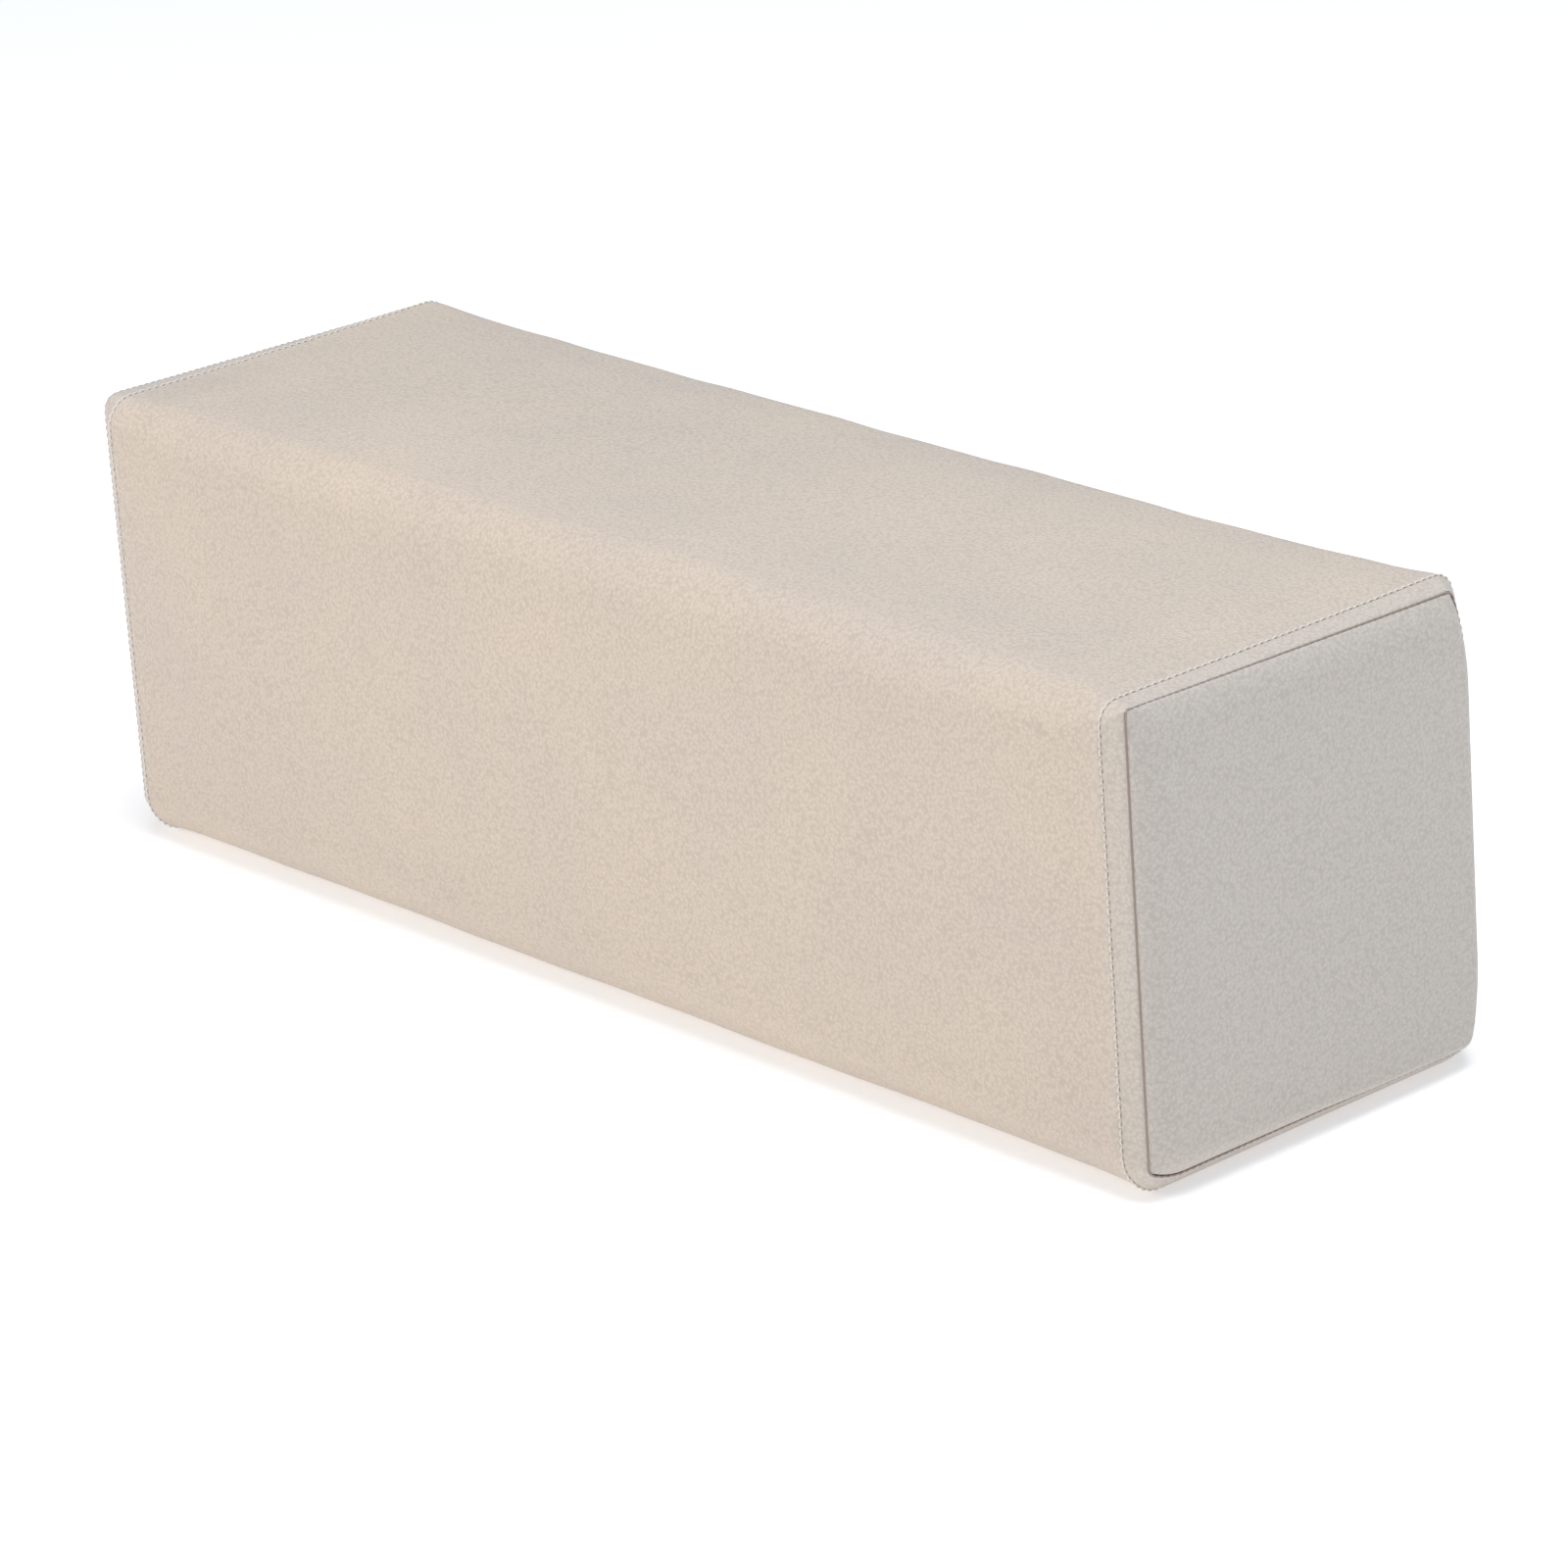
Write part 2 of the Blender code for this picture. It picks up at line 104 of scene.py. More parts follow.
CROWN_RUN = 0.0700  # from the seam to the full crown
UNEVEN = 0.00010  # hand-sewn unevenness of the skin
LUMP_RUN = 0.0200  # from the seam to where it is fully uneven
TIGHT_RUN = 0.0040  # from the seam, where the section keeps its even spacing
LEAST_RADIUS = 0.0002
stop_low, stop_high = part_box("zip_bottom_stop")
ZIP_HEIGHT = (stop_low.z + stop_high.z) / 2
ZIP_HOLD = 0.0180  # height over which the zip holds the back flat

CORE_Y = HALF_WIDTH - LONG_EDGE
CORE_Z = MID_HEIGHT - LONG_EDGE
CORNER_ARC = LONG_EDGE * pi / 2


def taken_up(distance, run, power=2):
    """Give the share of an inset that is left at a distance from the seam."""
    return np.clip(1 - distance / run, 0, 1) ** power


def eased(share):
    """Run smoothly from 0 to 1."""
    share = np.clip(share, 0, 1)
    return share * share * (3 - 2 * share)


def unevenness(x, turn):
    """Give slow waves over the skin, -1 to 1, round the section and along it."""
    waves = sin_wave(x, 0.113, 0.4) * sin_wave(turn, 2.1, 1.1)
    waves = waves + 0.6 * sin_wave(x, 0.047, 2.0) * sin_wave(turn, 1.3, 0.3)
    return waves + 0.4 * sin_wave(x + 0.012 * turn, 0.029, 4.1)


def sin_wave(value, length, start):
    return np.sin(2 * pi * value / length + start)


def clear_of_zip(y, z):
    """Give 0 at the zip, whose tapes hold the back flat, and 1 well away from it."""
    near = np.exp(-((z - ZIP_HEIGHT) / ZIP_HOLD) ** 2)
    return np.where(y > 0, 1 - near, 1)


def top_inset(y):
    return TOP_INSET + TOP_SLANT * np.clip(y / HALF_WIDTH, -1, 1)


def base_inset(y):
    return BASE_INSET - BASE_DROP * np.clip(y / HALF_WIDTH, 0, 1)


def corner_lift(y):
    """Give how much higher the base end of a seam lies towards its front corner."""
    return BASE_LIFT * taken_up(y + HALF_WIDTH - FRONT_INSET, LIFT_RUN)


def corner_radius(x, y, z):
    """Give the radius of the end seam's corner on one side of the middle."""
    top = np.where(x < 0, LEFT_CORNER, SEAM_CORNER)
    base = np.where(y > 0, BACK_CORNER, BASE_CORNER)
    return np.where(z > 0, top, base)


def pinch(from_corner, top):
    """Give the share by which the back of an end seam is drawn in near its corners."""
    most = np.where(top, BACK_PINCH, BASE_PINCH) / HALF_WIDTH
    return most * taken_up(from_corner, PINCH_RUN)


def shaped(points, depth):
    """Take points of the plain block, each at a depth under the skin, to the filled shape."""
    x, y, z = np.asarray(points, float).T
    z = z - MID_HEIGHT
    core_y = np.clip(np.abs(y), 0, CORE_Y)
    core_z = np.clip(np.abs(z), 0, CORE_Z)
    turn = np.arctan2(np.abs(z) - core_z, np.abs(y) - core_y)
    from_seam = np.clip(SEAM_X - np.abs(x), 0, None)
    top = z > 0

    front_inset = np.where(x < 0, LEFT_INSET, FRONT_INSET)
    side_inset = np.where(y > 0, BACK_INSET, front_inset)
    side = HALF_WIDTH - side_inset * taken_up(from_seam, SHOULDER, SLOPE)
    rise_top = MID_HEIGHT - top_inset(y) * taken_up(from_seam, SHOULDER, SLOPE)
    rise_base = MID_HEIGHT - base_inset(y) * taken_up(from_seam, BASE_SHOULDER)
    rise = np.where(top, rise_top, rise_base)
    corner = corner_radius(x, y, z)
    waver = 1 + 0.020 * sin_wave(x, 0.131, 0.7) + 0.010 * sin_wave(x, 0.047, 2.2)
    full_radius = np.where(top, LONG_EDGE, BASE_EDGE) * waver
    growth = np.where(top, EDGE_GROWTH, BASE_GROWTH)
    radius = corner + (full_radius - corner) * (1 - np.exp(-from_seam / growth))

    # Distance round a quarter of the block, from the middle of the top or base
    along = core_y + (pi / 2 - turn) * LONG_EDGE + CORE_Z - core_z
    whole = CORE_Y + CORNER_ARC + CORE_Z
    flat = side - radius
    arc = radius * pi / 2
    upright = rise - radius
    even = along * (flat + arc + upright) / whole
    on_arc = flat + (along - CORE_Y) * arc / CORNER_ARC
    on_upright = flat + arc + (along - CORE_Y - CORNER_ARC) * upright / CORE_Z
    matched = np.where(along < CORE_Y, along * flat / CORE_Y, on_arc)
    matched = np.where(along > CORE_Y + CORNER_ARC, on_upright, matched)
    tight = np.exp(-(from_seam / TIGHT_RUN) ** 2)
    along = even + (matched - even) * tight

    share_y = np.clip(along / flat, 0, 1)
    share_z = np.clip((flat + arc + upright - along) / upright, 0, 1)
    turn = pi / 2 - np.clip((along - flat) / arc, 0, 1) * pi / 2
    inner = np.maximum(radius - depth, LEAST_RADIUS)
    new_y = share_y * (side - depth - inner) + inner * np.cos(turn)
    new_z = share_z * (rise - depth - inner) + inner * np.sin(turn)
    lifted = corner_lift(np.sign(y) * new_y) * taken_up(from_seam, LIFT_LENGTH)
    new_z = np.where(top, new_z, new_z * (1 - lifted / rise))

    crown = eased(from_seam / CROWN_RUN) * clear_of_zip(y, z + MID_HEIGHT)
    round_turn = np.arctan2(z, y)
    lumps = UNEVEN * unevenness(x, round_turn) * eased(from_seam / LUMP_RUN)
    new_y = new_y + (SIDE_CROWN * (1 - share_z ** 2) ** 2 * crown + lumps) * np.cos(turn)
    lift = np.where(top, TOP_CROWN * (1 - share_y ** 2) ** 2 * crown + lumps, 0)
    new_z = new_z + lift * np.sin(turn)
    pinched = pinch(rise - new_z, top) * taken_up(from_seam, PINCH_SHOULDER)
    new_y = np.where(y > 0, new_y * (1 - pinched), new_y)
    return np.stack([x, np.sign(y) * new_y, np.sign(z) * new_z + MID_HEIGHT], axis=1)


# ---------------------------------------------------------------- Swelling under the filling
# The tight filling pushes the cover out between its seams. A plain closed bag of the cover's
# size is blown up as cloth, held at both end seams, and every layer then takes up its swelling.

FORM_SHRINK = 0.0020
FORM_EDGE = 0.0140
FORM_VOXEL = 0.0060
FORM_PRESSURE = 4.0
FORM_FRAMES = 20
SWELL_CAP = 0.0016
SEAM_HOLD = 0.0070  # from the end seam, held still
SMOOTHING = 6


def as_mesh(bm, name):
    """Keep a bmesh as a mesh."""
    mesh = bpy.data.meshes.new(name)
    bm.to_mesh(mesh)
    bm.free()
    return mesh


def as_object(name, data):
    made = bpy.data.objects.new(name, data)
    bpy.context.collection.objects.link(made)
    return made


def evaluated(made):
    return made.evaluated_get(bpy.context.evaluated_depsgraph_get())


def bag():
    """Make the closed bag that the swelling is found on."""
    bm = bmesh.new()
    bmesh.ops.create_cube(bm, size=2)
    size = (HALF_LENGTH - FORM_SHRINK, HALF_WIDTH - FORM_SHRINK, MID_HEIGHT - FORM_SHRINK)
    bmesh.ops.scale(bm, vec=size, verts=bm.verts)
    bmesh.ops.translate(bm, vec=(0, 0, MID_HEIGHT), verts=bm.verts)
    bmesh.ops.bevel(
        bm, geom=bm.edges[:], offset=FORM_EDGE, segments=3, profile=0.5, affect="EDGES", material=-1
    )
    made = as_object("bag", as_mesh(bm, "bag"))
    remesh = made.modifiers.new("even faces", "REMESH")
    remesh.mode = "VOXEL"
    remesh.voxel_size = FORM_VOXEL
    even = bpy.data.meshes.new_from_object(evaluated(made))
    made.modifiers.clear()
    made.data = even
    return made


def coordinates(mesh):
    flat = np.empty(len(mesh.vertices) * 3)
    mesh.vertices.foreach_get("co", flat)
    return flat.reshape(-1, 3)


def blown_up(made):
    """Blow the bag up as cloth and give how far each of its points moves."""
    rest = coordinates(made.data)
    held = made.vertex_groups.new(name="held")
    off_seam = np.abs(np.abs(rest[:, 0]) - SEAM_X)
    for index in np.flatnonzero(off_seam < SEAM_HOLD):
        held.add([int(index)], 1.0, "REPLACE")
    cloth = made.modifiers.new("cloth", "CLOTH")
    cloth.settings.quality = 5
    cloth.settings.mass = 0.4
    cloth.settings.tension_stiffness = 30
    cloth.settings.compression_stiffness = 30
    cloth.settings.bending_stiffness = 2.0
    cloth.settings.use_pressure = True
    cloth.settings.uniform_pressure_force = FORM_PRESSURE
    cloth.settings.effector_weights.gravity = 0
    cloth.settings.vertex_group_mass = "held"
    cloth.point_cache.frame_start = 1
    cloth.point_cache.frame_end = FORM_FRAMES
    for step in range(1, FORM_FRAMES + 1):
        bpy.context.scene.frame_set(step)
    blown = evaluated(made)
    moved = coordinates(blown.to_mesh()) - rest
    blown.to_mesh_clear()
    bpy.context.scene.frame_set(1)
    made.modifiers.clear()
    length = np.linalg.norm(moved, axis=1, keepdims=True)
    moved = moved * np.minimum(1, SWELL_CAP / np.maximum(length, 1e-9))
    edges = np.array([edge.vertices[:] for edge in made.data.edges])
    for _ in range(SMOOTHING):
        total = np.zeros_like(moved)
        count = np.zeros(len(moved))
        for a, b in (edges.T, edges.T[::-1]):
            np.add.at(total, a, moved[b])
            np.add.at(count, a, 1)
        moved = (moved + total / count[:, None]) / 2
    return moved


swelling = None
form = bag()
swell = blown_up(form)
form.data.calc_loop_triangles()
form_points = [Vector(v.co) for v in form.data.vertices]
form_tris = [tuple(t.vertices) for t in form.data.loop_triangles]
swelling = BVHTree.FromPolygons(form_points, form_tris)
bpy.data.objects.remove(form)


def swollen(points):
    """Move shaped points by the bag's swelling at the nearest place on it."""
    if swelling is None:
        return points
    moved = np.empty_like(points)
    for index, point in enumerate(points):
        place, _, face, _ = swelling.find_nearest(Vector(point))
        corners = form_tris[face]
        spread = [(place - form_points[c]).length for c in corners]
        weights = 1 / (np.array(spread) + 1e-5)
        moved[index] = weights @ swell[list(corners)] / weights.sum()
    rest_on_base = eased((points[:, 2] - 0.001) / 0.020)
    free = rest_on_base * clear_of_zip(points[:, 1], points[:, 2])
    return points + moved * free[:, None]


# ---------------------------------------------------------------- Foam core
# A block of firm cut foam, the whole inside of the bolster. Its faces are sawn, so they show
# open cells, and its edges are slightly crushed by the tight case.

STITCH_STEPS_HIGH = 45  # stitches up the front, between the round edges
STITCH_STEPS_WIDE = 42
STITCH_STEPS_CORNER = 9
FOAM_DEPTH = 0.0102
FOAM_EDGE = 0.0030
LAYER_STEP = 0.0200  # along the inner layers
LAYER_COARSE = 3  # stitches to a face round the inner layers
SHARP = radians(40)  # a fold at least this sharp shows as an edge


def sleeve(profile, closed=True, coarse=1):
    """Carry a profile of (x, depth) points once round the block, a stitch to a step."""
    bm = bmesh.new()
    deep = bm.verts.layers.float.new("depth")
    verts = []
    for x, depth in profile:
        vert = bm.verts.new((x, depth - HALF_WIDTH, LONG_EDGE))
        vert[deep] = depth
        verts.append(vert)
    pairs = list(zip(verts, verts[1:] + verts[:1]))
    edges = [bm.edges.new(pair) for pair in (pairs if closed else pairs[:-1])]
    low = LONG_EDGE
    high = 2 * MID_HEIGHT - LONG_EDGE
    legs = (
        (STITCH_STEPS_HIGH // coarse, (0, 0, high - low), (0, -CORE_Y, high)),
        (STITCH_STEPS_WIDE // coarse, (0, 2 * CORE_Y, 0), (0, CORE_Y, high)),
        (STITCH_STEPS_HIGH // coarse, (0, 0, low - high), (0, CORE_Y, low)),
        (STITCH_STEPS_WIDE // coarse, (0, -2 * CORE_Y, 0), (0, -CORE_Y, low)),
    )
    geometry = verts + edges
    for steps, travel, centre in legs:
        straight = Vector(travel) / steps
        geometry = bmesh.ops.spin(
            bm, geom=geometry, cent=(0, 0, 0), axis=(1, 0, 0), dvec=straight, angle=0, steps=steps
        )["geom_last"]
        geometry = bmesh.ops.spin(
            bm, geom=geometry, cent=centre, axis=(1, 0, 0), angle=-pi / 2,
            steps=max(STITCH_STEPS_CORNER // coarse, 3),
        )["geom_last"]
    bmesh.ops.remove_doubles(bm, verts=bm.verts, dist=1e-6)
    if not closed:
        rims = [edge for edge in bm.edges if edge.is_boundary]
        bmesh.ops.holes_fill(bm, edges=rims, sides=0)
    bmesh.ops.recalc_face_normals(bm, faces=bm.faces)
    return bm, deep


def take_shape(bm, deep):
    """Take every point of a block-shaped bmesh to the filled and swollen shape."""
    depth = np.array([v[deep] for v in bm.verts])
    for vert, place in zip(bm.verts, swollen(shaped([v.co for v in bm.verts], depth))):
        vert.co = place


def finished(name, bm, look, stands_for=(), body="cover"):
    """Turn a bmesh into a named piece on its body, with its material, and hide the CAD nodes it
    stands for.
    """
    mesh = as_mesh(bm, name)
    mesh.shade_smooth()
    mesh.set_sharp_from_angle(angle=SHARP)
    mesh.materials.append(look)
    made = as_object(name, mesh)
    if body:
        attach(made, body)
    if stands_for:
        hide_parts(*stands_for)
    return made


def new_material(name, colour, roughness, metallic=0.0):
    """Make a material; give it with its node tree, its shader and its place on the object."""
    made = bpy.data.materials.new(name)
    made.use_nodes = True
    tree = made.node_tree
    shader = tree.nodes["Principled BSDF"]
    set_inputs(tree, shader, Base_Color=(*colour, 1), Roughness=roughness, Metallic=metallic)
    return made, tree, shader, tree.nodes.new("ShaderNodeTexCoord").outputs["Object"]


def set_inputs(tree, node, **values):
    """Set a node's inputs: a socket is linked, and anything else is the input's own value."""
    for key, value in values.items():
        given = node.inputs[key.replace("_", " ")]
        if isinstance(value, bpy.types.NodeSocket):
            tree.links.new(value, given)
        else:
            given.default_value = value


def add_node(tree, kind, *values, **settings):
    """Add a node. Values fill its inputs in order; settings name its properties or its inputs."""
    node = tree.nodes.new(kind)
    for key, value in settings.items():
        if hasattr(node, key):
            setattr(node, key, value)
        else:
            set_inputs(tree, node, **{key: value})
    for given, value in zip(node.inputs, values):
        if isinstance(value, bpy.types.NodeSocket):
            tree.links.new(value, given)
        else:
            given.default_value = value
    return node


def reckon(tree, operation, *values):
    return add_node(tree, "ShaderNodeMath", *values, operation=operation).outputs[0]


def noise(tree, place, scale, detail=2.0):
    node = add_node(tree, "ShaderNodeTexNoise", Vector=place, Scale=scale, Detail=detail)
    return node.outputs["Fac"]


def remap(tree, value, low, high, start=0.0, stop=1.0):
    """Take a value from between start and stop to between low and high."""
    node = add_node(tree, "ShaderNodeMapRange", Value=value, From_Min=start, From_Max=stop)
    set_inputs(tree, node, To_Min=low, To_Max=high)
    return node.outputs["Result"]


def tones(tree, value, low, high, start=0.0, stop=1.0):
    """Take a value to a colour between two."""
    node = add_node(tree, "ShaderNodeValToRGB", value)
    for element, place, colour in zip(node.color_ramp.elements, (start, stop), (low, high)):
        element.position = place
        element.color = (*colour, 1)
    return node.outputs["Color"]


def tinted(tree, colour, shade):
    return add_node(tree, "ShaderNodeVectorMath", colour, operation="SCALE", Scale=shade).outputs[0]


def raised(tree, height, strength, distance):
    """Give the surface's direction where it is raised by a height."""
    node = add_node(tree, "ShaderNodeBump", Height=height, Strength=strength, Distance=distance)
    return node.outputs["Normal"]


def speckle_group():
    """Group that speckles a colour with cells and slow cloudiness, and raises them as height."""
    group = bpy.data.node_groups.new("speckle", "ShaderNodeTree")
    face = group.interface
    face.new_socket("Colour", in_out="INPUT", socket_type="NodeSocketColor")
    for name in ("Cell Scale", "Speckle", "Cloud"):
        face.new_socket(name, in_out="INPUT", socket_type="NodeSocketFloat")
    face.new_socket("Colour", in_out="OUTPUT", socket_type="NodeSocketColor")
    face.new_socket("Height", in_out="OUTPUT", socket_type="NodeSocketFloat")
    given = group.nodes.new("NodeGroupInput").outputs
    place = group.nodes.new("ShaderNodeTexCoord").outputs["Object"]
    cells = add_node(
        group, "ShaderNodeTexVoronoi", feature="F1", Vector=place, Scale=given["Cell Scale"]
    ).outputs["Distance"]
    light = reckon(group, "MULTIPLY_ADD", cells, given["Speckle"], 1.0)
    slow = reckon(group, "SUBTRACT", noise(group, place, 22.0, 3.0), 0.5)
    shade = reckon(group, "MULTIPLY_ADD", slow, given["Cloud"], light)
    tint = tinted(group, given["Colour"], shade)
    set_inputs(group, group.nodes.new("NodeGroupOutput"), Colour=tint, Height=cells)
    return group


speckle = speckle_group()


def soft_material(name, colour, roughness, cell_scale, speckles, cloud, rise):
    """Make a fibrous or cellular material with the speckle group."""
    made, tree, shader, _ = new_material(name, colour, roughness)
    values = ((*colour, 1), cell_scale, speckles, cloud)
    cells = add_node(tree, "ShaderNodeGroup", *values, node_tree=speckle).outputs
    bump = raised(tree, cells["Height"], 0.7, rise)
    set_inputs(tree, shader, Base_Color=cells["Colour"], Normal=bump, Specular_IOR_Level=0.2)
    return made


def spaced(start, stop, step):
    """Give even places from start to stop, about a step apart."""
    count = max(round(abs(stop - start) / step), 1)
    return [start + (stop - start) * i / count for i in range(count + 1)]


def mirrored(points):
    return [(-x, depth) for x, depth in reversed(points)]


foam_end = HALF_LENGTH - FOAM_DEPTH
foam_half = [(foam_end, FOAM_DEPTH + 2 * FOAM_EDGE), (foam_end, FOAM_DEPTH + FOAM_EDGE)]
foam_half += [(foam_end - FOAM_EDGE * 0.3, FOAM_DEPTH + FOAM_EDGE * 0.3)]
foam_half += [(x, FOAM_DEPTH) for x in spaced(foam_end - FOAM_EDGE, 0, LAYER_STEP)]
foam_look = soft_material("foam", (0.80, 0.72, 0.50), 0.95, 700.0, -0.35, 0.12, 0.0008)
foam_profile = foam_half + mirrored(foam_half[:-1])
foam_bm, foam_depth = sleeve(foam_profile, closed=False, coarse=LAYER_COARSE)
take_shape(foam_bm, foam_depth)
foam = finished("foam_block", foam_bm, foam_look, ["foam_core"])


# ---------------------------------------------------------------- Wadding, liner and padding
# Polyester wadding wraps the foam, a woven inner case holds both, and a thin padding is backed
# to the leatherette. Each is a panel round the long sides and one over each end, sewn together.

WADDING_DEPTH = 0.0057
WADDING = 0.0040
LINER_DEPTH = 0.0050
LINER = 0.0004
PADDING_DEPTH = 0.0016
PADDING = 0.0028
PANEL_CELLS = 60  # faces across an end panel, closer together near its seam
BULGE_RUN = 0.0095  # from the seam to the round part's end
BACK_BULGE_RUN = 0.0062
BASE_BULGE_RUN = 0.0120  # at the front, and much shorter from past the middle to the back
BACK_BASE_RUN = 0.0036
SLACK_RUN = 0.0300  # over which the pinched corners let go
SLACK = 0.25  # share of the bulge that they hold back
END_CROWN = 0.0006
PADDING_STOP = 0.0110  # from the seam, where the hem takes the padding's place
CAP_INSET = 0.0020
CAP_GAP = 0.0006  # under the layer outside it
CAP_CELLS = 20
POCKET_GAP = 0.0006  # between the zip's tapes and the pocket cut for them
tape_low, tape_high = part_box("zip_tape_upper")


def tube_layer(depth, thickness, end):
    """Make a layer round the long sides, up to a distance from the middle."""
    outer, inner = (
        [(x, level) for x in spaced(end, 0, LAYER_STEP)] for level in (depth, depth + thickness)
    )
    outer += mirrored(outer[:-1])
    inner += mirrored(inner[:-1])
    return sleeve(outer + inner[::-1], coarse=LAYER_COARSE)


def cut_round_zip(bm, half_x, half_z, chosen):
    """Cut the chosen faces along the four sides of a rectangle about the zip."""
    for place, normal in (
        ((half_x, 0, 0), (1, 0, 0)),
        ((-half_x, 0, 0), (1, 0, 0)),
        ((0, 0, ZIP_HEIGHT + half_z), (0, 0, 1)),
        ((0, 0, ZIP_HEIGHT - half_z), (0, 0, 1)),
    ):
        parts = set()
        for face in filter(chosen, bm.faces):
            parts.update([face, *face.edges, *face.verts])
        bmesh.ops.bisect_plane(bm, geom=list(parts), dist=1e-6, plane_co=place, plane_no=normal)


def cut_pocket(bm):
    """Cut the zip's pocket through the back of the padding, and close the cut's edge."""
    half_x = tape_high.x + POCKET_GAP
    half_z = tape_high.z - ZIP_HEIGHT + POCKET_GAP
    cut_round_zip(bm, half_x, half_z, lambda face: True)
    pocket = []
    for face in bm.faces:
        x, y, z = face.calc_center_median()
        if abs(x) < half_x and abs(z - ZIP_HEIGHT) < half_z and y > CORE_Y:
            pocket.append(face)
    bmesh.ops.delete(bm, geom=pocket, context="FACES")
    bmesh.ops.bridge_loops(bm, edges=[edge for edge in bm.edges if edge.is_boundary])
    bmesh.ops.recalc_face_normals(bm, faces=bm.faces)


def bulge(distance, run):
    tight = 1 - taken_up(distance, run)
    return (1 - SLACK) * tight + SLACK * (1 - taken_up(distance, SLACK_RUN))


def seam_rise(y, side_of_z):
    """Give the seam's height above or below mid-height."""
    return MID_HEIGHT - np.where(side_of_z > 0, top_inset(y), base_inset(y) + corner_lift(y))


def panel_points(side, u, v, inset, depth):
    """Give an end panel's points at -1 to 1 across it, inset from the seam and below the skin."""
    front_inset = LEFT_INSET if side < 0 else FRONT_INSET
    half_y = HALF_WIDTH - np.where(u > 0, BACK_INSET, front_inset) - inset
    y = np.sin(u * pi / 2) * half_y
    half_z = seam_rise(y, v) - inset
    z = np.sin(v * pi / 2) * half_z
    edge_y = half_y - np.abs(y)
    edge_z = half_z - np.abs(z)
    radius = np.maximum(corner_radius(side, u, v) - inset, LEAST_RADIUS)
    a = np.clip(1 - edge_y / radius, 0, 1)
    b = np.clip(1 - edge_z / radius, 0, 1)
    y = np.sign(y) * np.where(a > 0, half_y - radius + a * np.sqrt(1 - b * b / 2) * radius, np.abs(y))
    z = np.sign(z) * np.where(b > 0, half_z - radius + b * np.sqrt(1 - a * a / 2) * radius, np.abs(z))
    from_y = edge_y + inset
    from_z = edge_z + inset
    base_run = BASE_BULGE_RUN + (BACK_BASE_RUN - BASE_BULGE_RUN) * np.clip((u + 1) / 1.2, 0, 1)
    run_z = np.where(v > 0, BULGE_RUN, base_run)
    run_y = np.where(u > 0, BACK_BULGE_RUN, BULGE_RUN)
    out = bulge(from_y, run_y) * bulge(from_z, run_z)
    crown = END_CROWN * (1 - (y / half_y) ** 2) * (1 - (z / half_z) ** 2)
    x = SEAM_X + SEAM_SETBACK * out + crown - depth
    y = np.where(u > 0, y * (1 - pinch(half_z - np.abs(z), v > 0)), y)
    return np.stack([x, y, z + MID_HEIGHT], axis=1), np.minimum(edge_y, edge_z)


def mirror_to_left(bm):
    bmesh.ops.scale(bm, vec=(-1, 1, 1), verts=bm.verts)
    bmesh.ops.reverse_faces(bm, faces=bm.faces)


def end_layer(side, depth, thickness):
    """Make a layer over one end face, at a depth."""
    bm = bmesh.new()
    bmesh.ops.create_grid(bm, x_segments=CAP_CELLS, y_segments=CAP_CELLS, size=1)
    u, v, _ = np.array([vert.co for vert in bm.verts]).T
    outer, _ = panel_points(side, u, v, depth + CAP_INSET, depth + CAP_GAP)
    for vert, place in zip(bm.verts, swollen(outer)):
        vert.co = place
    bmesh.ops.recalc_face_normals(bm, faces=bm.faces)
    bmesh.ops.solidify(bm, geom=bm.faces[:], thickness=thickness)
    bmesh.ops.recalc_face_normals(bm, faces=bm.faces)
    if side < 0:
        mirror_to_left(bm)
    return bm


layers = (
    ("wadding", "wadding", WADDING_DEPTH, WADDING, 0.5,
     soft_material("wadding", (0.86, 0.86, 0.85), 0.98, 260.0, -0.18, 0.10, 0.0015)),
    ("liner", "liner_cloth", LINER_DEPTH, LINER, 0.9,
     soft_material("liner cloth", (0.72, 0.70, 0.66), 0.9, 1600.0, -0.30, 0.05, 0.0003)),
    ("padding", "padding", PADDING_DEPTH, PADDING, 0.8,
     soft_material("padding", (0.75, 0.74, 0.70), 0.95, 420.0, -0.20, 0.08, 0.0008)),
)
for layer, slot, depth, thickness, fill, look in layers:
    wrap_node, end_node, stop = f"{layer}_wrap", f"{layer}_end", depth
    if layer == "padding":
        wrap_node, end_node, stop = "cover_padding", "end_padding", PADDING_STOP
    layer_bm, deep = tube_layer(depth, thickness, SEAM_X - stop)
    if layer == "padding":
        cut_pocket(layer_bm)
    take_shape(layer_bm, deep)
    made = finished(f"{layer}_sleeve", layer_bm, look, [wrap_node])
    for side, word in ((-1, "left"), (1, "right")):
        end_bm = end_layer(side, depth, thickness)
        made = finished(f"{layer}_cap_{word}", end_bm, look, [f"{end_node}_{word}"])


# ---------------------------------------------------------------- Leatherette
# Cream artificial leather: a pebbled, satin polyurethane skin on a knitted backing. The grain
# is fine, a millimetre across, and the colour varies a little over the hide.

LEATHER = (0.700, 0.600, 0.502)
PAINTED_END_LIGHT_COLOUR = (0.690, 0.618, 0.545, 1)
END_LIGHT_FROM = SEAM_X - 0.0150  # painted light: the strip along each seam and the ends are coloured paler and cooler, as the cool light from the upper right lights them
END_LIGHT_TO = SEAM_X - 0.0010
PAINTED_BASE_SHADE = 0.94  # painted shade: the colour darkens to this share at the base
BASE_SHADE_HEIGHT = 0.1100
DARK_HIDE = (0.678, 0.586, 0.500)
LIGHT_HIDE = (0.722, 0.614, 0.504)
PEBBLE = 820.0  # grain cells to a metre
GRAIN_WARP = 0.0009


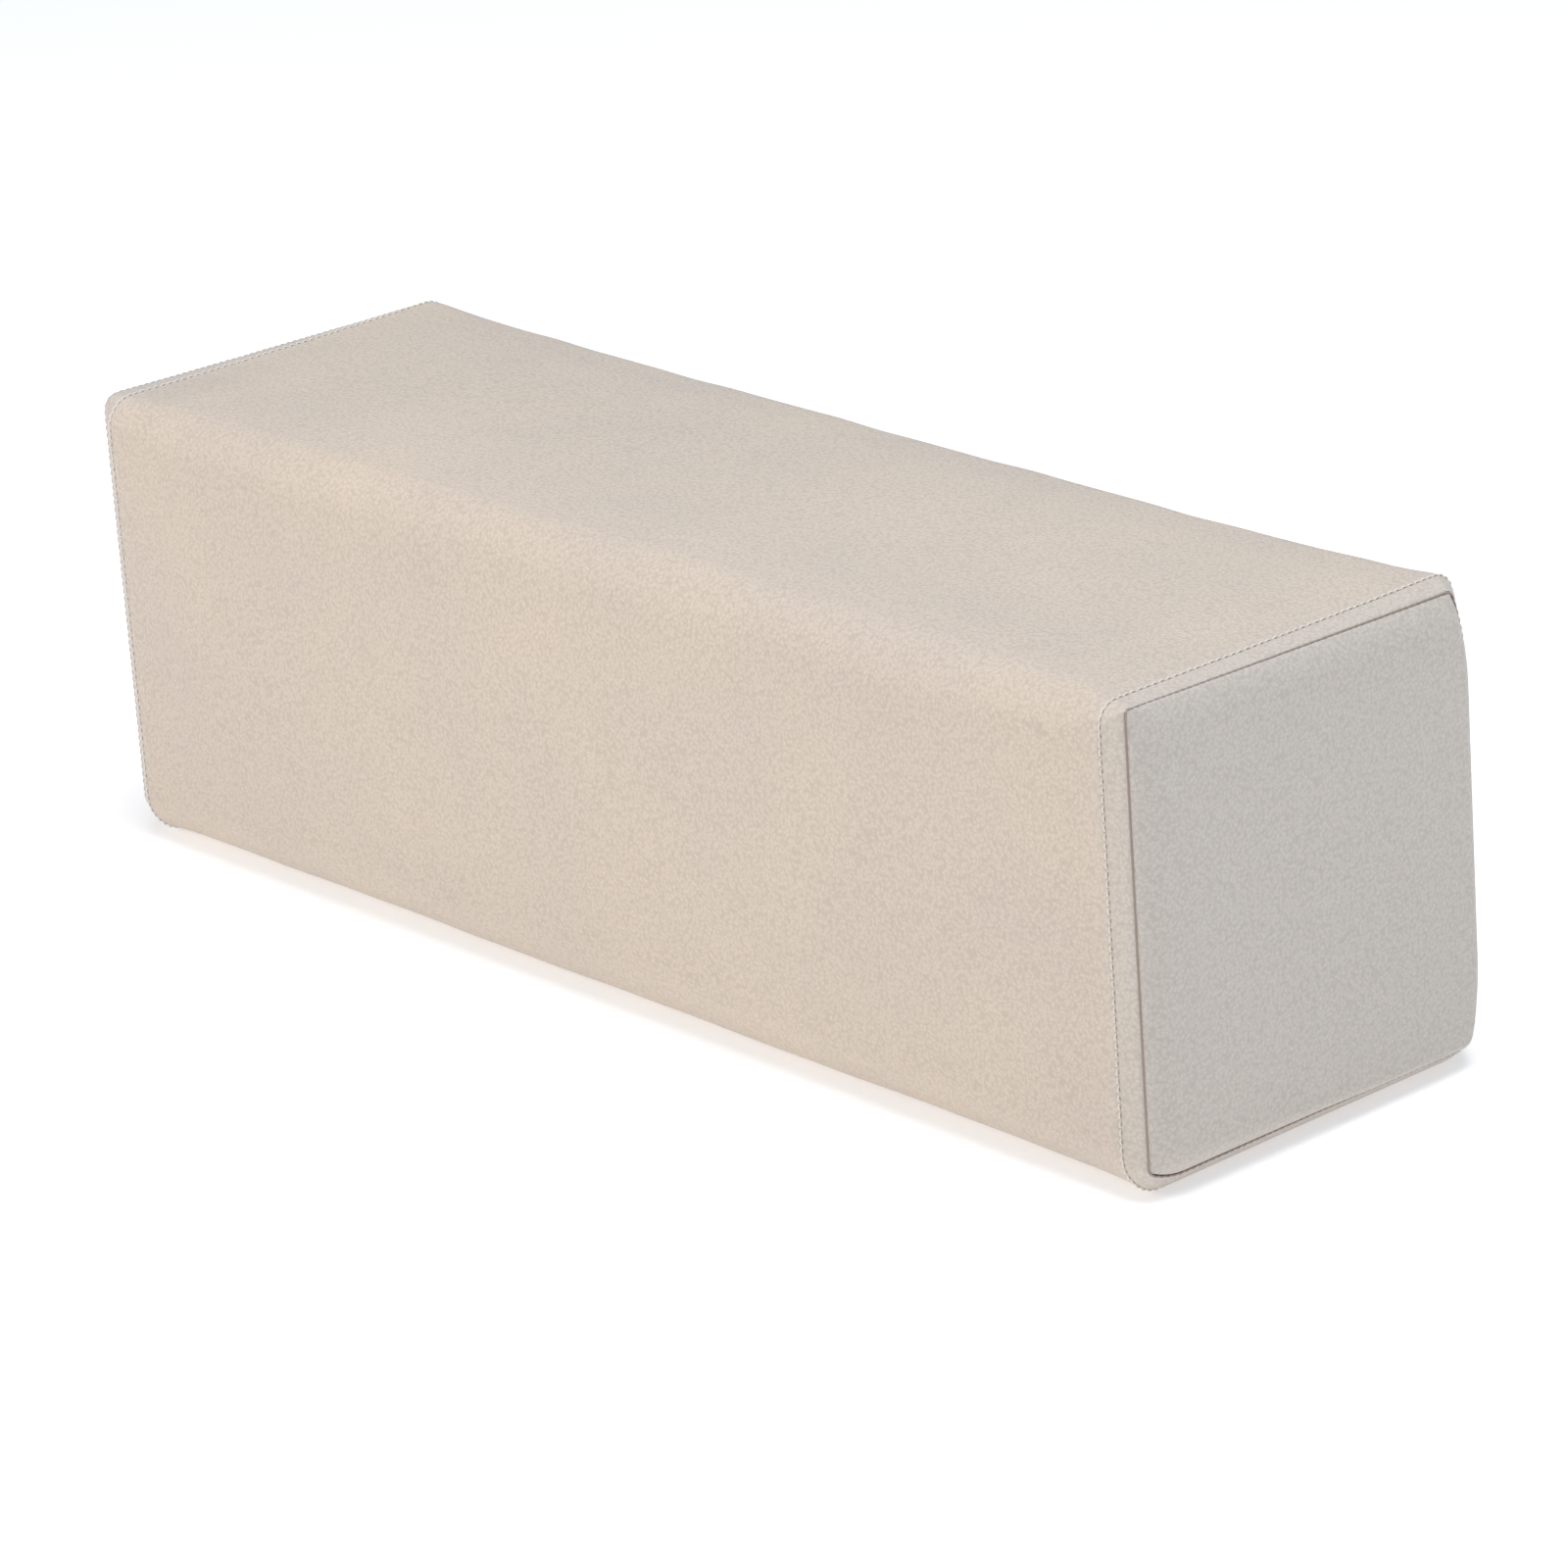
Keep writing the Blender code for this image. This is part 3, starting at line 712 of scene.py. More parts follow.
def leatherette_material():
    made, tree, shader, place = new_material("leatherette", LEATHER, 0.5)
    warp = add_node(tree, "ShaderNodeTexNoise", Vector=place, Scale=300.0, Detail=2.0)
    shift = add_node(
        tree, "ShaderNodeVectorMath", warp.outputs["Color"], (GRAIN_WARP,) * 3, place,
        operation="MULTIPLY_ADD",
    ).outputs[0]
    cells = add_node(tree, "ShaderNodeTexVoronoi", feature="F1", Vector=shift, Scale=PEBBLE)
    fine = reckon(tree, "MULTIPLY", noise(tree, place, 1900.0, 3.0), 0.45)
    dome = reckon(tree, "MULTIPLY_ADD", cells.outputs["Distance"], -1.0, fine)
    cloud = noise(tree, place, 16.0, 4.0)
    hide = tones(tree, cloud, DARK_HIDE, LIGHT_HIDE, 0.3, 0.7)
    split = add_node(tree, "ShaderNodeSeparateXYZ", place).outputs
    # painted light: the colour runs to a paler, cooler tone over the last 15 mm before each end seam
    # and over the end panels
    tight = remap(tree, reckon(tree, "ABSOLUTE", split["X"]), 0.0, 1.0, END_LIGHT_FROM, END_LIGHT_TO)
    painted_end_light = add_node(tree, "ShaderNodeMix", data_type="RGBA")
    painted_end_light.inputs[7].default_value = PAINTED_END_LIGHT_COLOUR
    tree.links.new(tight, painted_end_light.inputs[0])
    tree.links.new(hide, painted_end_light.inputs[6])
    # painted shade: the colour darkens towards the base, from 110 mm above it down to the floor
    base_shading = remap(tree, split["Z"], PAINTED_BASE_SHADE, 1.0, 0.0, BASE_SHADE_HEIGHT)
    shade = reckon(tree, "MULTIPLY", base_shading, remap(tree, dome, 0.82, 1.08, -0.6, 0.4))
    set_inputs(
        tree, shader, Base_Color=tinted(tree, painted_end_light.outputs[2], shade),
        Normal=raised(tree, dome, 0.75, 0.00028), Roughness=remap(tree, cloud, 0.42, 0.58),
        Specular_IOR_Level=0.38, Sheen_Weight=0.05,
    )
    return made


leatherette = leatherette_material()


# ---------------------------------------------------------------- End panels
# A square of leatherette closes each end. The filling bulges it from its seam, its corners stay
# pinched, and its edge turns in beside the wrap's edge, where the seam thread holds both.

LIP = 0.0003  # from the seam's middle to each rolled edge
LIP_ROLL = 0.0010
FOLD_DEPTH = 0.0024
FOLD_LEAN = 0.85  # the fold leans away from the end as it goes in
SKIN = 0.0012
MITRE = 0.0072  # from a corner, over which the fold turns from one side to the next


def turned_in(bm, rim):
    """Carry a rim on by a new band of faces; give the new rim and its points."""
    added = bmesh.ops.extrude_edge_only(bm, edges=rim)["geom"]
    edges = [g for g in added if isinstance(g, bmesh.types.BMEdge)]
    return edges, [g for g in added if isinstance(g, bmesh.types.BMVert)]


def end_panel(side):
    bm = bmesh.new()
    bmesh.ops.create_grid(bm, x_segments=PANEL_CELLS, y_segments=PANEL_CELLS, size=1)
    across = bm.verts.layers.float.new("across")
    upward = bm.verts.layers.float.new("upward")
    for vert in bm.verts:
        vert[across], vert[upward] = vert.co.xy
    u, v, _ = np.array([vert.co for vert in bm.verts]).T
    skin, from_edge = panel_points(side, u, v, LIP, 0)
    skin[:, 0] -= LIP_ROLL * 0.8 * np.clip(1 - from_edge / LIP_ROLL, 0, 1) ** 2
    for vert, place in zip(bm.verts, swollen(skin)):
        vert.co = place
    rim = [edge for edge in bm.edges if edge.is_boundary]
    for drop, lean in ((FOLD_DEPTH, FOLD_DEPTH), (0, SKIN)):
        rim, turned = turned_in(bm, rim)
        for vert in turned:
            off_side = HALF_WIDTH * (1 - sin(abs(vert[across]) * pi / 2))
            off_top = MID_HEIGHT * (1 - sin(abs(vert[upward]) * pi / 2))
            in_y = -lean * float(np.sign(vert[across])) * max(1 - off_side / MITRE, 0)
            in_z = -lean * float(np.sign(vert[upward])) * max(1 - off_top / MITRE, 0)
            vert.co += Vector((-drop * FOLD_LEAN, in_y, in_z))
    bmesh.ops.recalc_face_normals(bm, faces=bm.faces)
    if side < 0:
        mirror_to_left(bm)
    return bm


for side, word in ((-1, "left"), (1, "right")):
    panel = finished(
        f"end_cover_{word}", end_panel(side), leatherette, [f"end_panel_{word}"]
    )


# ---------------------------------------------------------------- Wrap
# One panel of leatherette goes round the front, top, back and base. Its ends turn in at the end
# seams, and a row of topstitching holds the folds down. A slot for the zip is cut low in the back.

STITCH_PLACE = 0.0081  # of the topstitching, from the end seam
CHANNEL = (  # the dip that the stitches pull: from its middle, and its depth
    (0.0013, 0.0),
    (0.0008, 0.00003),
    (0.0004, 0.00008),
    (0.0, 0.00014),
)
HOLE_DENT = 0.00034  # at each needle hole
STITCH_PUFF = 0.00012  # of the skin under each stitch
FINE_BAND = 0.0240  # from the seam, with two points to a stitch
slider_low, slider_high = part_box("zip_slider")
SLOT_END = stop_high.x + 0.0003
SLOT_HALF = (slider_high.z - slider_low.z) / 2 + 0.0010
SLOT_ROLL = 0.0006
SLOT_STITCH = 0.0030  # from the slot's edge to its topstitching
SLOT_HEM = 0.0080
CHANNEL_HALF = 0.0007
SLOT_DIP = 0.00035  # of the channel round the slot
HEM = 0.0104


def wrap_profile():
    """Give the wrap's outline from the middle over its turned-in end and back inside."""
    far = [(x, 0.0) for x in spaced(0, SEAM_X - FINE_BAND, 0.0060)]
    slope = [(SEAM_X - d, 0.0) for d in (0.0205, 0.0175, 0.0150, 0.0128, 0.0112)]
    row = SEAM_X - STITCH_PLACE
    channel = [(row - off, depth) for off, depth in CHANNEL]
    channel += [(row + off, depth) for off, depth in reversed(CHANNEL[:-1])]
    strip = [(SEAM_X - d, 0.0) for d in (0.0060, 0.0047, 0.0034, 0.0023)]
    lip = [(SEAM_X - LIP - off, down) for off, down in
           ((LIP_ROLL, 0.0), (0.5 * LIP_ROLL, 0.00010), (0.2 * LIP_ROLL, 0.00028))]
    fold = [(SEAM_X - LIP - FOLD_LEAN * down, down) for down in (0.0007, 0.0015, FOLD_DEPTH)]
    hem = [(SEAM_X - HEM, FOLD_DEPTH), (SEAM_X - HEM, SKIN)]
    inside = [(x, SKIN) for x in spaced(SEAM_X - 0.0200, 0, 0.0300)]
    outer = far[1:] + slope + channel + strip + lip + fold + hem + inside[:-1]
    return [(0, 0.0)] + outer + [(0, SKIN)]


wrap_right = wrap_profile()
wrap_bm, wrap_deep = sleeve(wrap_right + mirrored(wrap_right[1:-1]))
ring_edges = [
    edge for edge in wrap_bm.edges
    if abs(edge.verts[0].co.x - edge.verts[1].co.x) < 1e-6
    and abs(edge.verts[0].co.x) > SEAM_X - FINE_BAND
    and abs(edge.verts[0][wrap_deep] - edge.verts[1][wrap_deep]) < 1e-6
]
bmesh.ops.subdivide_edges(wrap_bm, edges=ring_edges, cuts=1)


def slot_distance(x, z):
    """Give how far a point of the back lies outside the slot's edge."""
    return max(abs(x) - SLOT_END, abs(z - ZIP_HEIGHT) - SLOT_HALF)


def on_back(item):
    centre = item.calc_center_median()
    flat = abs(centre.z - MID_HEIGHT) < CORE_Z
    return centre.y > HALF_WIDTH - 2 * SKIN and flat and abs(centre.x) < SEAM_X - FINE_BAND


for margin in (
    SLOT_ROLL, SLOT_STITCH - CHANNEL_HALF, SLOT_STITCH, SLOT_STITCH + CHANNEL_HALF, SLOT_HEM
):
    cut_round_zip(wrap_bm, SLOT_END + margin, SLOT_HALF + margin, on_back)
holes = []
for face in filter(on_back, wrap_bm.faces):
    centre = face.calc_center_median()
    outside = centre.y > HALF_WIDTH - SKIN / 2
    margin = SLOT_ROLL if outside else SLOT_HEM
    if slot_distance(centre.x, centre.z) < margin:
        holes.append(face)
bmesh.ops.delete(wrap_bm, geom=holes, context="FACES")
rim = [e for e in wrap_bm.edges if e.is_boundary and e.verts[0][wrap_deep] < SKIN / 2]
inner_rim = [e for e in wrap_bm.edges if e.is_boundary and e.verts[0][wrap_deep] > SKIN / 2]
margin = SLOT_ROLL
slot_fold = (
    (SLOT_ROLL * 0.3, SLOT_ROLL * 0.3), (0.0, SLOT_ROLL), (0.0, FOLD_DEPTH), (SLOT_HEM, FOLD_DEPTH)
)
for new_margin, down in slot_fold:
    rim, turned = turned_in(wrap_bm, rim)
    for vert in turned:
        vert.co.x *= (SLOT_END + new_margin) / (SLOT_END + margin)
        above = vert.co.z - ZIP_HEIGHT
        vert.co.z = ZIP_HEIGHT + above * (SLOT_HALF + new_margin) / (SLOT_HALF + margin)
        vert.co.y = HALF_WIDTH - down
        vert[wrap_deep] = down
    margin = new_margin
bmesh.ops.bridge_loops(wrap_bm, edges=rim + inner_rim)
for vert in wrap_bm.verts:
    in_channel = abs(slot_distance(vert.co.x, vert.co.z) - SLOT_STITCH) < 1e-5
    if vert.co.y > HALF_WIDTH - 1e-5 and in_channel and vert[wrap_deep] < 1e-5:
        vert[wrap_deep] = SLOT_DIP
stitch_rows = {}
for side in (-1, 1):
    row = [
        v for v in wrap_bm.verts
        if abs(v.co.x - side * (SEAM_X - STITCH_PLACE)) < 1e-6 and 0 < v[wrap_deep] < SKIN / 2
    ]
    row.sort(key=lambda v: np.arctan2(v.co.z - MID_HEIGHT, v.co.y))
    for index, vert in enumerate(row):
        vert[wrap_deep] += HOLE_DENT if index % 2 == 0 else -STITCH_PUFF
    stitch_rows[side] = row
bmesh.ops.recalc_face_normals(wrap_bm, faces=wrap_bm.faces)
take_shape(wrap_bm, wrap_deep)
wrap_bm.normal_update()
stitch_places = {
    side: [(v.co.copy(), v.normal.copy()) for v in row] for side, row in stitch_rows.items()
}
wrap = finished("cover_sleeve", wrap_bm, leatherette, ["cover_wrap"])


# ---------------------------------------------------------------- Thread
# Twisted polyester thread. A lockstitch closes the end seams deep in the fold; its dark brown colour
# is partly painted shade of the seam's groove. A cream topstitch, a shade lighter than the
# leatherette, lies in its own shallow dip.

TOP_THREAD = 0.00066
SEAM_THREAD = 0.00070
SEAM_THREAD_DEPTH = 0.00060
SEAM_STITCHES = 212
SEAM_FACING = 0.65  # how far the seam's stitches face the end
SLOT_STITCHES = 159  # along each long side of the slot
SLOT_END_STITCHES = 6
SLOT_THREAD_DEPTH = 0.00022
TOP_RISE = 0.00055  # of a stitch over its ends
SEAM_RISE = 0.00030
TOP_FILL = 0.78  # length of a stitch, as a share of its pitch
SEAM_FILL = 0.98
SLOT_FILL = 0.88
THREAD_SIDES = 6
THREAD_STEPS = 5


def thread_material(name, colour, roughness):
    made, tree, shader, place = new_material(name, colour, roughness)
    twist = wave(tree, place, "DIAGONAL", 900.0, 1.5)
    set_inputs(tree, shader, Normal=raised(tree, twist, 0.6, 0.0002))
    return made


def wave(tree, place, direction, scale, distortion=0.0):
    node = add_node(
        tree, "ShaderNodeTexWave", bands_direction=direction, Vector=place, Scale=scale,
        Distortion=distortion,
    )
    return node.outputs["Fac"]


def stitch_template(length, rise, thickness):
    """Make one stitch: a short arc of thread along X that dips at both ends."""
    radius = (length * length / 4 + rise * rise) / (2 * rise)
    half_turn = acos(1 - rise / radius)
    bm = bmesh.new()
    ring = bmesh.ops.create_circle(
        bm, segments=THREAD_SIDES, radius=thickness / 2, cap_ends=True,
        matrix=Matrix.Translation((0, 0, radius)) @ Matrix.Rotation(pi / 2, 4, "Y"),
    )["verts"]
    bmesh.ops.rotate(bm, verts=ring, cent=(0, 0, 0), matrix=Matrix.Rotation(-half_turn, 3, "Y"))
    bmesh.ops.spin(
        bm, geom=bm.faces[:], cent=(0, 0, 0), axis=(0, 1, 0), angle=2 * half_turn,
        steps=THREAD_STEPS,
    )
    bmesh.ops.translate(bm, verts=bm.verts, vec=(0, 0, rise - radius))
    bmesh.ops.recalc_face_normals(bm, faces=bm.faces)
    return as_mesh(bm, "stitch")


def sewn(name, ends, template, look, stands_for):
    """Lay a stitch between each pair of (start, end, outward) places."""
    bm = bmesh.new()
    for start, end, outward in ends:
        along = (end - start).normalized()
        across = outward.cross(along).normalized()
        up = along.cross(across)
        turn = Matrix((along, across, up)).transposed().to_4x4()
        first = len(bm.verts)
        bm.from_mesh(template)
        bm.verts.ensure_lookup_table()
        bmesh.ops.transform(
            bm, matrix=Matrix.Translation((start + end) / 2) @ turn, verts=bm.verts[first:]
        )
    return finished(name, bm, look, stands_for)


top_thread = thread_material("topstitch thread", (0.86, 0.80, 0.72), 0.6)
# painted shade: the seam thread's dark brown stands partly for the shadow in the seam's groove
seam_thread_with_groove_shade = thread_material("seam thread", (0.40, 0.315, 0.265), 0.8)
for side, word in ((-1, "left"), (1, "right")):
    places = stitch_places[side]
    holes = places[::2]
    ends = []
    for index, (start, outward) in enumerate(holes):
        end, outward_end = holes[(index + 1) % len(holes)]
        lift = (outward + outward_end).normalized()
        middle, _ = places[(2 * index + 1) % len(places)]
        lifted = (start + end) / 2
        raise_by = (middle - lifted).dot(lift) * 0.5
        ends.append((start + lift * raise_by, end + lift * raise_by, lift))
    pitch = (holes[1][0] - holes[0][0]).length
    template = stitch_template(pitch * TOP_FILL, TOP_RISE, TOP_THREAD)
    sewn(f"topstitching_{word}", ends, template, top_thread, [f"topstitch_{word}"])


def seam_ring(side):
    """Give even places round the end seam, deep in its fold."""
    knots = np.cumsum([0] + 2 * [2 * CORE_Z, CORNER_ARC, 2 * CORE_Y, CORNER_ARC])
    around = np.linspace(0, knots[-1], 4001)[:-1]
    centre_y = np.interp(around, knots, CORE_Y * np.array([-1, -1, -1, 1, 1, 1, 1, -1, -1]))
    centre_z = np.interp(around, knots, CORE_Z * np.array([-1, 1, 1, 1, 1, -1, -1, -1, -1]))
    turn = np.interp(around, knots, pi / 2 * np.array([2, 2, 1, 1, 0, 0, -1, -1, -2]))
    y = centre_y + LONG_EDGE * np.cos(turn)
    z = centre_z + LONG_EDGE * np.sin(turn) + MID_HEIGHT
    x = np.full_like(y, side * (SEAM_X - FOLD_LEAN * SEAM_THREAD_DEPTH * 0.8))
    points = shaped(np.stack([x, y, z], axis=1), SEAM_THREAD_DEPTH)
    steps = np.linalg.norm(np.roll(points, -1, axis=0) - points, axis=1)
    walked = np.concatenate([[0], np.cumsum(steps)])
    looped = np.vstack([points, points[:1]])
    wanted = np.linspace(0, walked[-1], SEAM_STITCHES + 1)[:-1]
    even = np.stack([np.interp(wanted, walked, looped[:, axis]) for axis in range(3)], axis=1)
    return [Vector(p) for p in swollen(even)]


for side, word in ((-1, "left"), (1, "right")):
    ring = seam_ring(side)
    ends = []
    for index, start in enumerate(ring):
        end = ring[(index + 1) % len(ring)]
        outward = Vector((0, start.y + end.y, start.z + end.z - 2 * MID_HEIGHT))
        outward = Vector((side * SEAM_FACING * outward.length, *outward.yz)).normalized()
        ends.append((start, end, outward))
    pitch = (ring[1] - ring[0]).length
    template = stitch_template(pitch * SEAM_FILL, SEAM_RISE, SEAM_THREAD)
    sewn(f"seam_stitching_{word}", ends, template, seam_thread_with_groove_shade, [f"seam_thread_{word}"])


around_slot = []
for count, start, step in (
    (SLOT_STITCHES, (-1, 1), (2, 0)),
    (SLOT_END_STITCHES, (1, 1), (0, -2)),
    (SLOT_STITCHES, (1, -1), (-2, 0)),
    (SLOT_END_STITCHES, (-1, -1), (0, 2)),
):
    for share in np.arange(count) / count:
        x = (start[0] + step[0] * share) * (SLOT_END + SLOT_STITCH)
        z = (start[1] + step[1] * share) * (SLOT_HALF + SLOT_STITCH)
        around_slot.append((x, HALF_WIDTH, ZIP_HEIGHT + z))
slot_holes = [Vector(place) for place in swollen(shaped(around_slot, SLOT_THREAD_DEPTH))]
slot_rows = [
    (start, end, Vector((0, 1, 0))) for start, end in zip(slot_holes, slot_holes[1:] + slot_holes[:1])
]
pitch = (slot_rows[0][1] - slot_rows[0][0]).length
template = stitch_template(pitch * SLOT_FILL, TOP_RISE, TOP_THREAD)
sewn("zip_stitching", slot_rows, template, top_thread, ["zip_topstitch"])


# ---------------------------------------------------------------- Zip chain
# A nylon coil zip: two woven tapes sewn under the slot's hems, each with a coil sewn along it.
# Behind the slider the two chains lie parted; ahead of it their loops interlock.

SLIDER_START = slider_low.x
SLIDER_MIDDLE = (slider_low.x + slider_high.x) / 2
coil_low, coil_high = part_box("zip_coil_upper")
COIL_MIDDLE_Y = (coil_low.y + coil_high.y) / 2
COIL_WIDE = 0.0032  # of one coil, past the centre line where it interlocks
COIL_THREAD = 0.00066
COIL_PITCH = 0.00125
COIL_SLANT = 0.18
INTERLOCK = 0.00035  # of each coil's loops past the centre line
STRIP_THICK = 0.0005
STRIP_LIFT = 0.00005  # over the sewn band
LOOP_SIDES = 5
LOOP_STEPS = 8
STRIP_TOP = 0.0052  # from the centre line to the strip's sewn side
STRIP_LAP = 0.0007  # of the strip over the sewn band
TAPE_GAP = 0.00015  # from the centre line to a tape, where the zip is closed
PARTED = 0.0011  # half the gap beside the slider's post
PARTED_MORE = 0.0014  # half the gap well behind it
PARTED_RUN = 0.0300
TRAVEL = frame["joints"][0]["range_m"][1]
OPEN_START = SLIDER_START + 0.0005
OPEN_RUN = 0.0020


chain_share = np.linspace(0, 1, 4001)
chain_opened = OPEN_START + chain_share * OPEN_RUN + eased(chain_share) * TRAVEL


def drawn_in(x):
    """Give the places at rest, inside the slider, of places along the opened chain."""
    return OPEN_START + OPEN_RUN * np.interp(x, chain_opened, chain_share)


def parted(x):
    """Give how far from the centre line the opened chain lies at a place along it."""
    end = OPEN_START + OPEN_RUN + TRAVEL
    inside = eased(np.minimum(x - OPEN_START, end - x) / PARTED_RUN)
    return PARTED + (PARTED_MORE - PARTED) * inside


def loop_template():
    """Make one loop of the coil, slanted as the coil winds."""
    bm = bmesh.new()
    tall = (coil_high.y - coil_low.y - COIL_THREAD) / 2
    wide = (COIL_WIDE - COIL_THREAD) / 2
    ring = bmesh.ops.create_circle(
        bm, segments=LOOP_SIDES, radius=COIL_THREAD / 2,
        matrix=Matrix.Translation((0, 0, wide)) @ Matrix.Rotation(pi / 2, 4, "X"),
    )["verts"]
    bmesh.ops.spin(
        bm, geom=ring + bm.edges[:], cent=(0, 0, 0), axis=(1, 0, 0), angle=2 * pi,
        steps=LOOP_STEPS, use_merge=True,
    )
    bmesh.ops.recalc_face_normals(bm, faces=bm.faces)
    bmesh.ops.scale(bm, vec=(1, tall / wide, 1), verts=bm.verts)
    for vert in bm.verts:
        vert.co.x += COIL_SLANT * vert.co.z
    return as_mesh(bm, "coil loop")


def coil_bm(side, places, apart):
    """Lay a loop at each place along one side of the zip, as far from its middle as given."""
    bm = bmesh.new()
    loop = loop_template()
    for x, gap in zip(places, apart):
        first = len(bm.verts)
        bm.from_mesh(loop)
        bm.verts.ensure_lookup_table()
        height = ZIP_HEIGHT + side * (gap + COIL_WIDE / 2 - INTERLOCK)
        bmesh.ops.translate(bm, vec=(x, COIL_MIDDLE_Y, height), verts=bm.verts[first:])
    return bm


def strip_bm(side, start, end, count, inner):
    """Make the moving strip of tape under one coil; inner gives its free side's height."""
    bm = bmesh.new()
    bmesh.ops.create_grid(bm, x_segments=count, y_segments=3, size=1)
    for vert in bm.verts:
        x = start + (end - start) * (vert.co.x + 1) / 2
        low = float(inner(x))
        height = low + (STRIP_TOP - low) * (vert.co.y + 1) / 2
        vert.co = Vector((x, tape_high.y + STRIP_LIFT, ZIP_HEIGHT + side * height))
    bmesh.ops.recalc_face_normals(bm, faces=bm.faces)
    bmesh.ops.solidify(bm, geom=bm.faces[:], thickness=STRIP_THICK)
    bmesh.ops.recalc_face_normals(bm, faces=bm.faces)
    if max(vert.co.y for vert in bm.verts) > tape_high.y + 2 * STRIP_LIFT:
        bmesh.ops.translate(bm, vec=(0, -STRIP_THICK, 0), verts=bm.verts)
    return bm


def prism(bm, outline, start, stop):
    """Add a block over an (x, height) outline at the zip, between two places across the back."""
    first = len(bm.verts)
    face = bm.faces.new([bm.verts.new((x, start, ZIP_HEIGHT + z)) for x, z in outline])
    added = bmesh.ops.extrude_face_region(bm, geom=[face])["geom"]
    verts = [g for g in added if isinstance(g, bmesh.types.BMVert)]
    bmesh.ops.translate(bm, verts=verts, vec=(0, stop - start, 0))
    bm.verts.ensure_lookup_table()
    return bm.verts[first:]


def band_bm(side):
    """Make the sewn band of one tape, with its tails beyond the chain."""
    bm = bmesh.new()
    wide = tape_high.z - ZIP_HEIGHT
    outline = (
        (tape_low.x, PARTED), (OPEN_START, PARTED), (OPEN_START, STRIP_TOP - STRIP_LAP),
        (coil_high.x, STRIP_TOP - STRIP_LAP), (coil_high.x, TAPE_GAP), (tape_high.x, TAPE_GAP),
        (tape_high.x, wide), (tape_low.x, wide),
    )
    prism(bm, [(x, side * z) for x, z in outline], tape_high.y, tape_low.y)
    bmesh.ops.recalc_face_normals(bm, faces=bm.faces)
    return bm


def tape_material():
    """Woven tape: a fine twill across the tape, raised and a little shaded."""
    made, tree, shader, place = new_material("zip tape", (0.58, 0.50, 0.41), 0.85)
    twill = wave(tree, place, "DIAGONAL", 520.0, 0.6)
    weave = reckon(tree, "MULTIPLY", twill, wave(tree, place, "X", 800.0))
    tone = tones(tree, weave, (0.46, 0.39, 0.32), (0.64, 0.56, 0.47))
    set_inputs(tree, shader, Base_Color=tone, Normal=raised(tree, weave, 0.6, 0.0002))
    return made


def nylon_material():
    """Satin nylon, slightly uneven in shade along the coil."""
    made, tree, shader, place = new_material("coil nylon", (0.60, 0.52, 0.43), 0.35)
    tone = tones(tree, noise(tree, place, 260.0), (0.53, 0.45, 0.37), (0.67, 0.59, 0.50))
    set_inputs(tree, shader, Base_Color=tone)
    return made


zip_tape = tape_material()
nylon = nylon_material()
closed_places = np.arange(coil_low.x + COIL_PITCH / 2, coil_high.x - COIL_PITCH / 2, COIL_PITCH)
open_end = OPEN_START + OPEN_RUN + TRAVEL
open_places = np.arange(OPEN_START + COIL_PITCH, open_end - COIL_PITCH / 2, COIL_PITCH)
for side, word in ((1, "upper"), (-1, "lower")):
    offset = COIL_PITCH / 2 if side < 0 else 0
    pieces = (
        ("coil", coil_bm(side, closed_places - offset / 2, np.zeros(len(closed_places))), nylon,
         "coil_nylon", f"zip_coil_{word}"),
        ("tape_strip", strip_bm(side, coil_low.x, coil_high.x, 40, lambda x: TAPE_GAP), zip_tape,
         "zip_tape", f"zip_tape_{word}"),
    )
    for kind, bm, look, slot, node in pieces:
        made = finished(f"zip_{kind}_{word}_closed", bm, look, [node])
        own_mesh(made)
    open_gaps = parted(open_places + offset)
    pieces = (
        ("coil", coil_bm(side, open_places + offset, open_gaps), nylon, "coil_nylon"),
        ("tape_strip", strip_bm(side, OPEN_START, open_end, 160, parted), zip_tape, "zip_tape"),
    )
    for kind, bm, look, slot in pieces:
        for vert, x in zip(bm.verts, drawn_in([vert.co.x for vert in bm.verts])):
            vert.co.x = x
        made = finished(f"zip_{kind}_{word}_open", bm, look, body=None)
        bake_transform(made)
    finished(f"zip_tape_band_{word}", band_bm(side), zip_tape)


# ---------------------------------------------------------------- Slider, pull and stops
# Die-cast and nickel-plated: a slider of two plates on a post, its side walls and a bail, and a
# stamped pull that hangs on the bail. The stops are small clamps of the same metal.

TOP_PLATE = 0.0011
BASE_PLATE = 0.0008
WALL = 0.0012
WALL_DROP = 0.0024  # below the back face
POST_LENGTH = 0.0040
POST_HALF = 0.0010
BAIL_HALF = 0.0011
BAIL_THICK = 0.0009
EASED_METAL = 0.00022
pull_low, pull_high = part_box("zip_pull")
SLIDER_TOP = 0.0010  # of the outer plate above the back face
SLIDER_HALF = (slider_high.z - slider_low.z) / 2


def metal_material():
    """Nickel plate with fine brushing along the zip and slight tarnish."""
    made, tree, shader, place = new_material("zip metal", (0.66, 0.64, 0.61), 0.3, 1.0)
    along = add_node(tree, "ShaderNodeMapping", Vector=place, Scale=(0.08, 1, 1)).outputs["Vector"]
    brush = noise(tree, along, 4000.0)
    tone = tones(tree, noise(tree, place, 180.0), (0.56, 0.54, 0.51), (0.72, 0.71, 0.69))
    set_inputs(
        tree, shader, Base_Color=tone, Roughness=remap(tree, brush, 0.20, 0.42),
        Normal=raised(tree, brush, 0.15, 0.00005),
    )
    return made


def block(bm, outline, low, high):
    """Add a block of an (x, height) outline between two depths under the back face."""
    verts = prism(bm, outline, HALF_WIDTH - low, HALF_WIDTH - high)
    ease_metal(bm, {edge for vert in verts for edge in vert.link_edges})


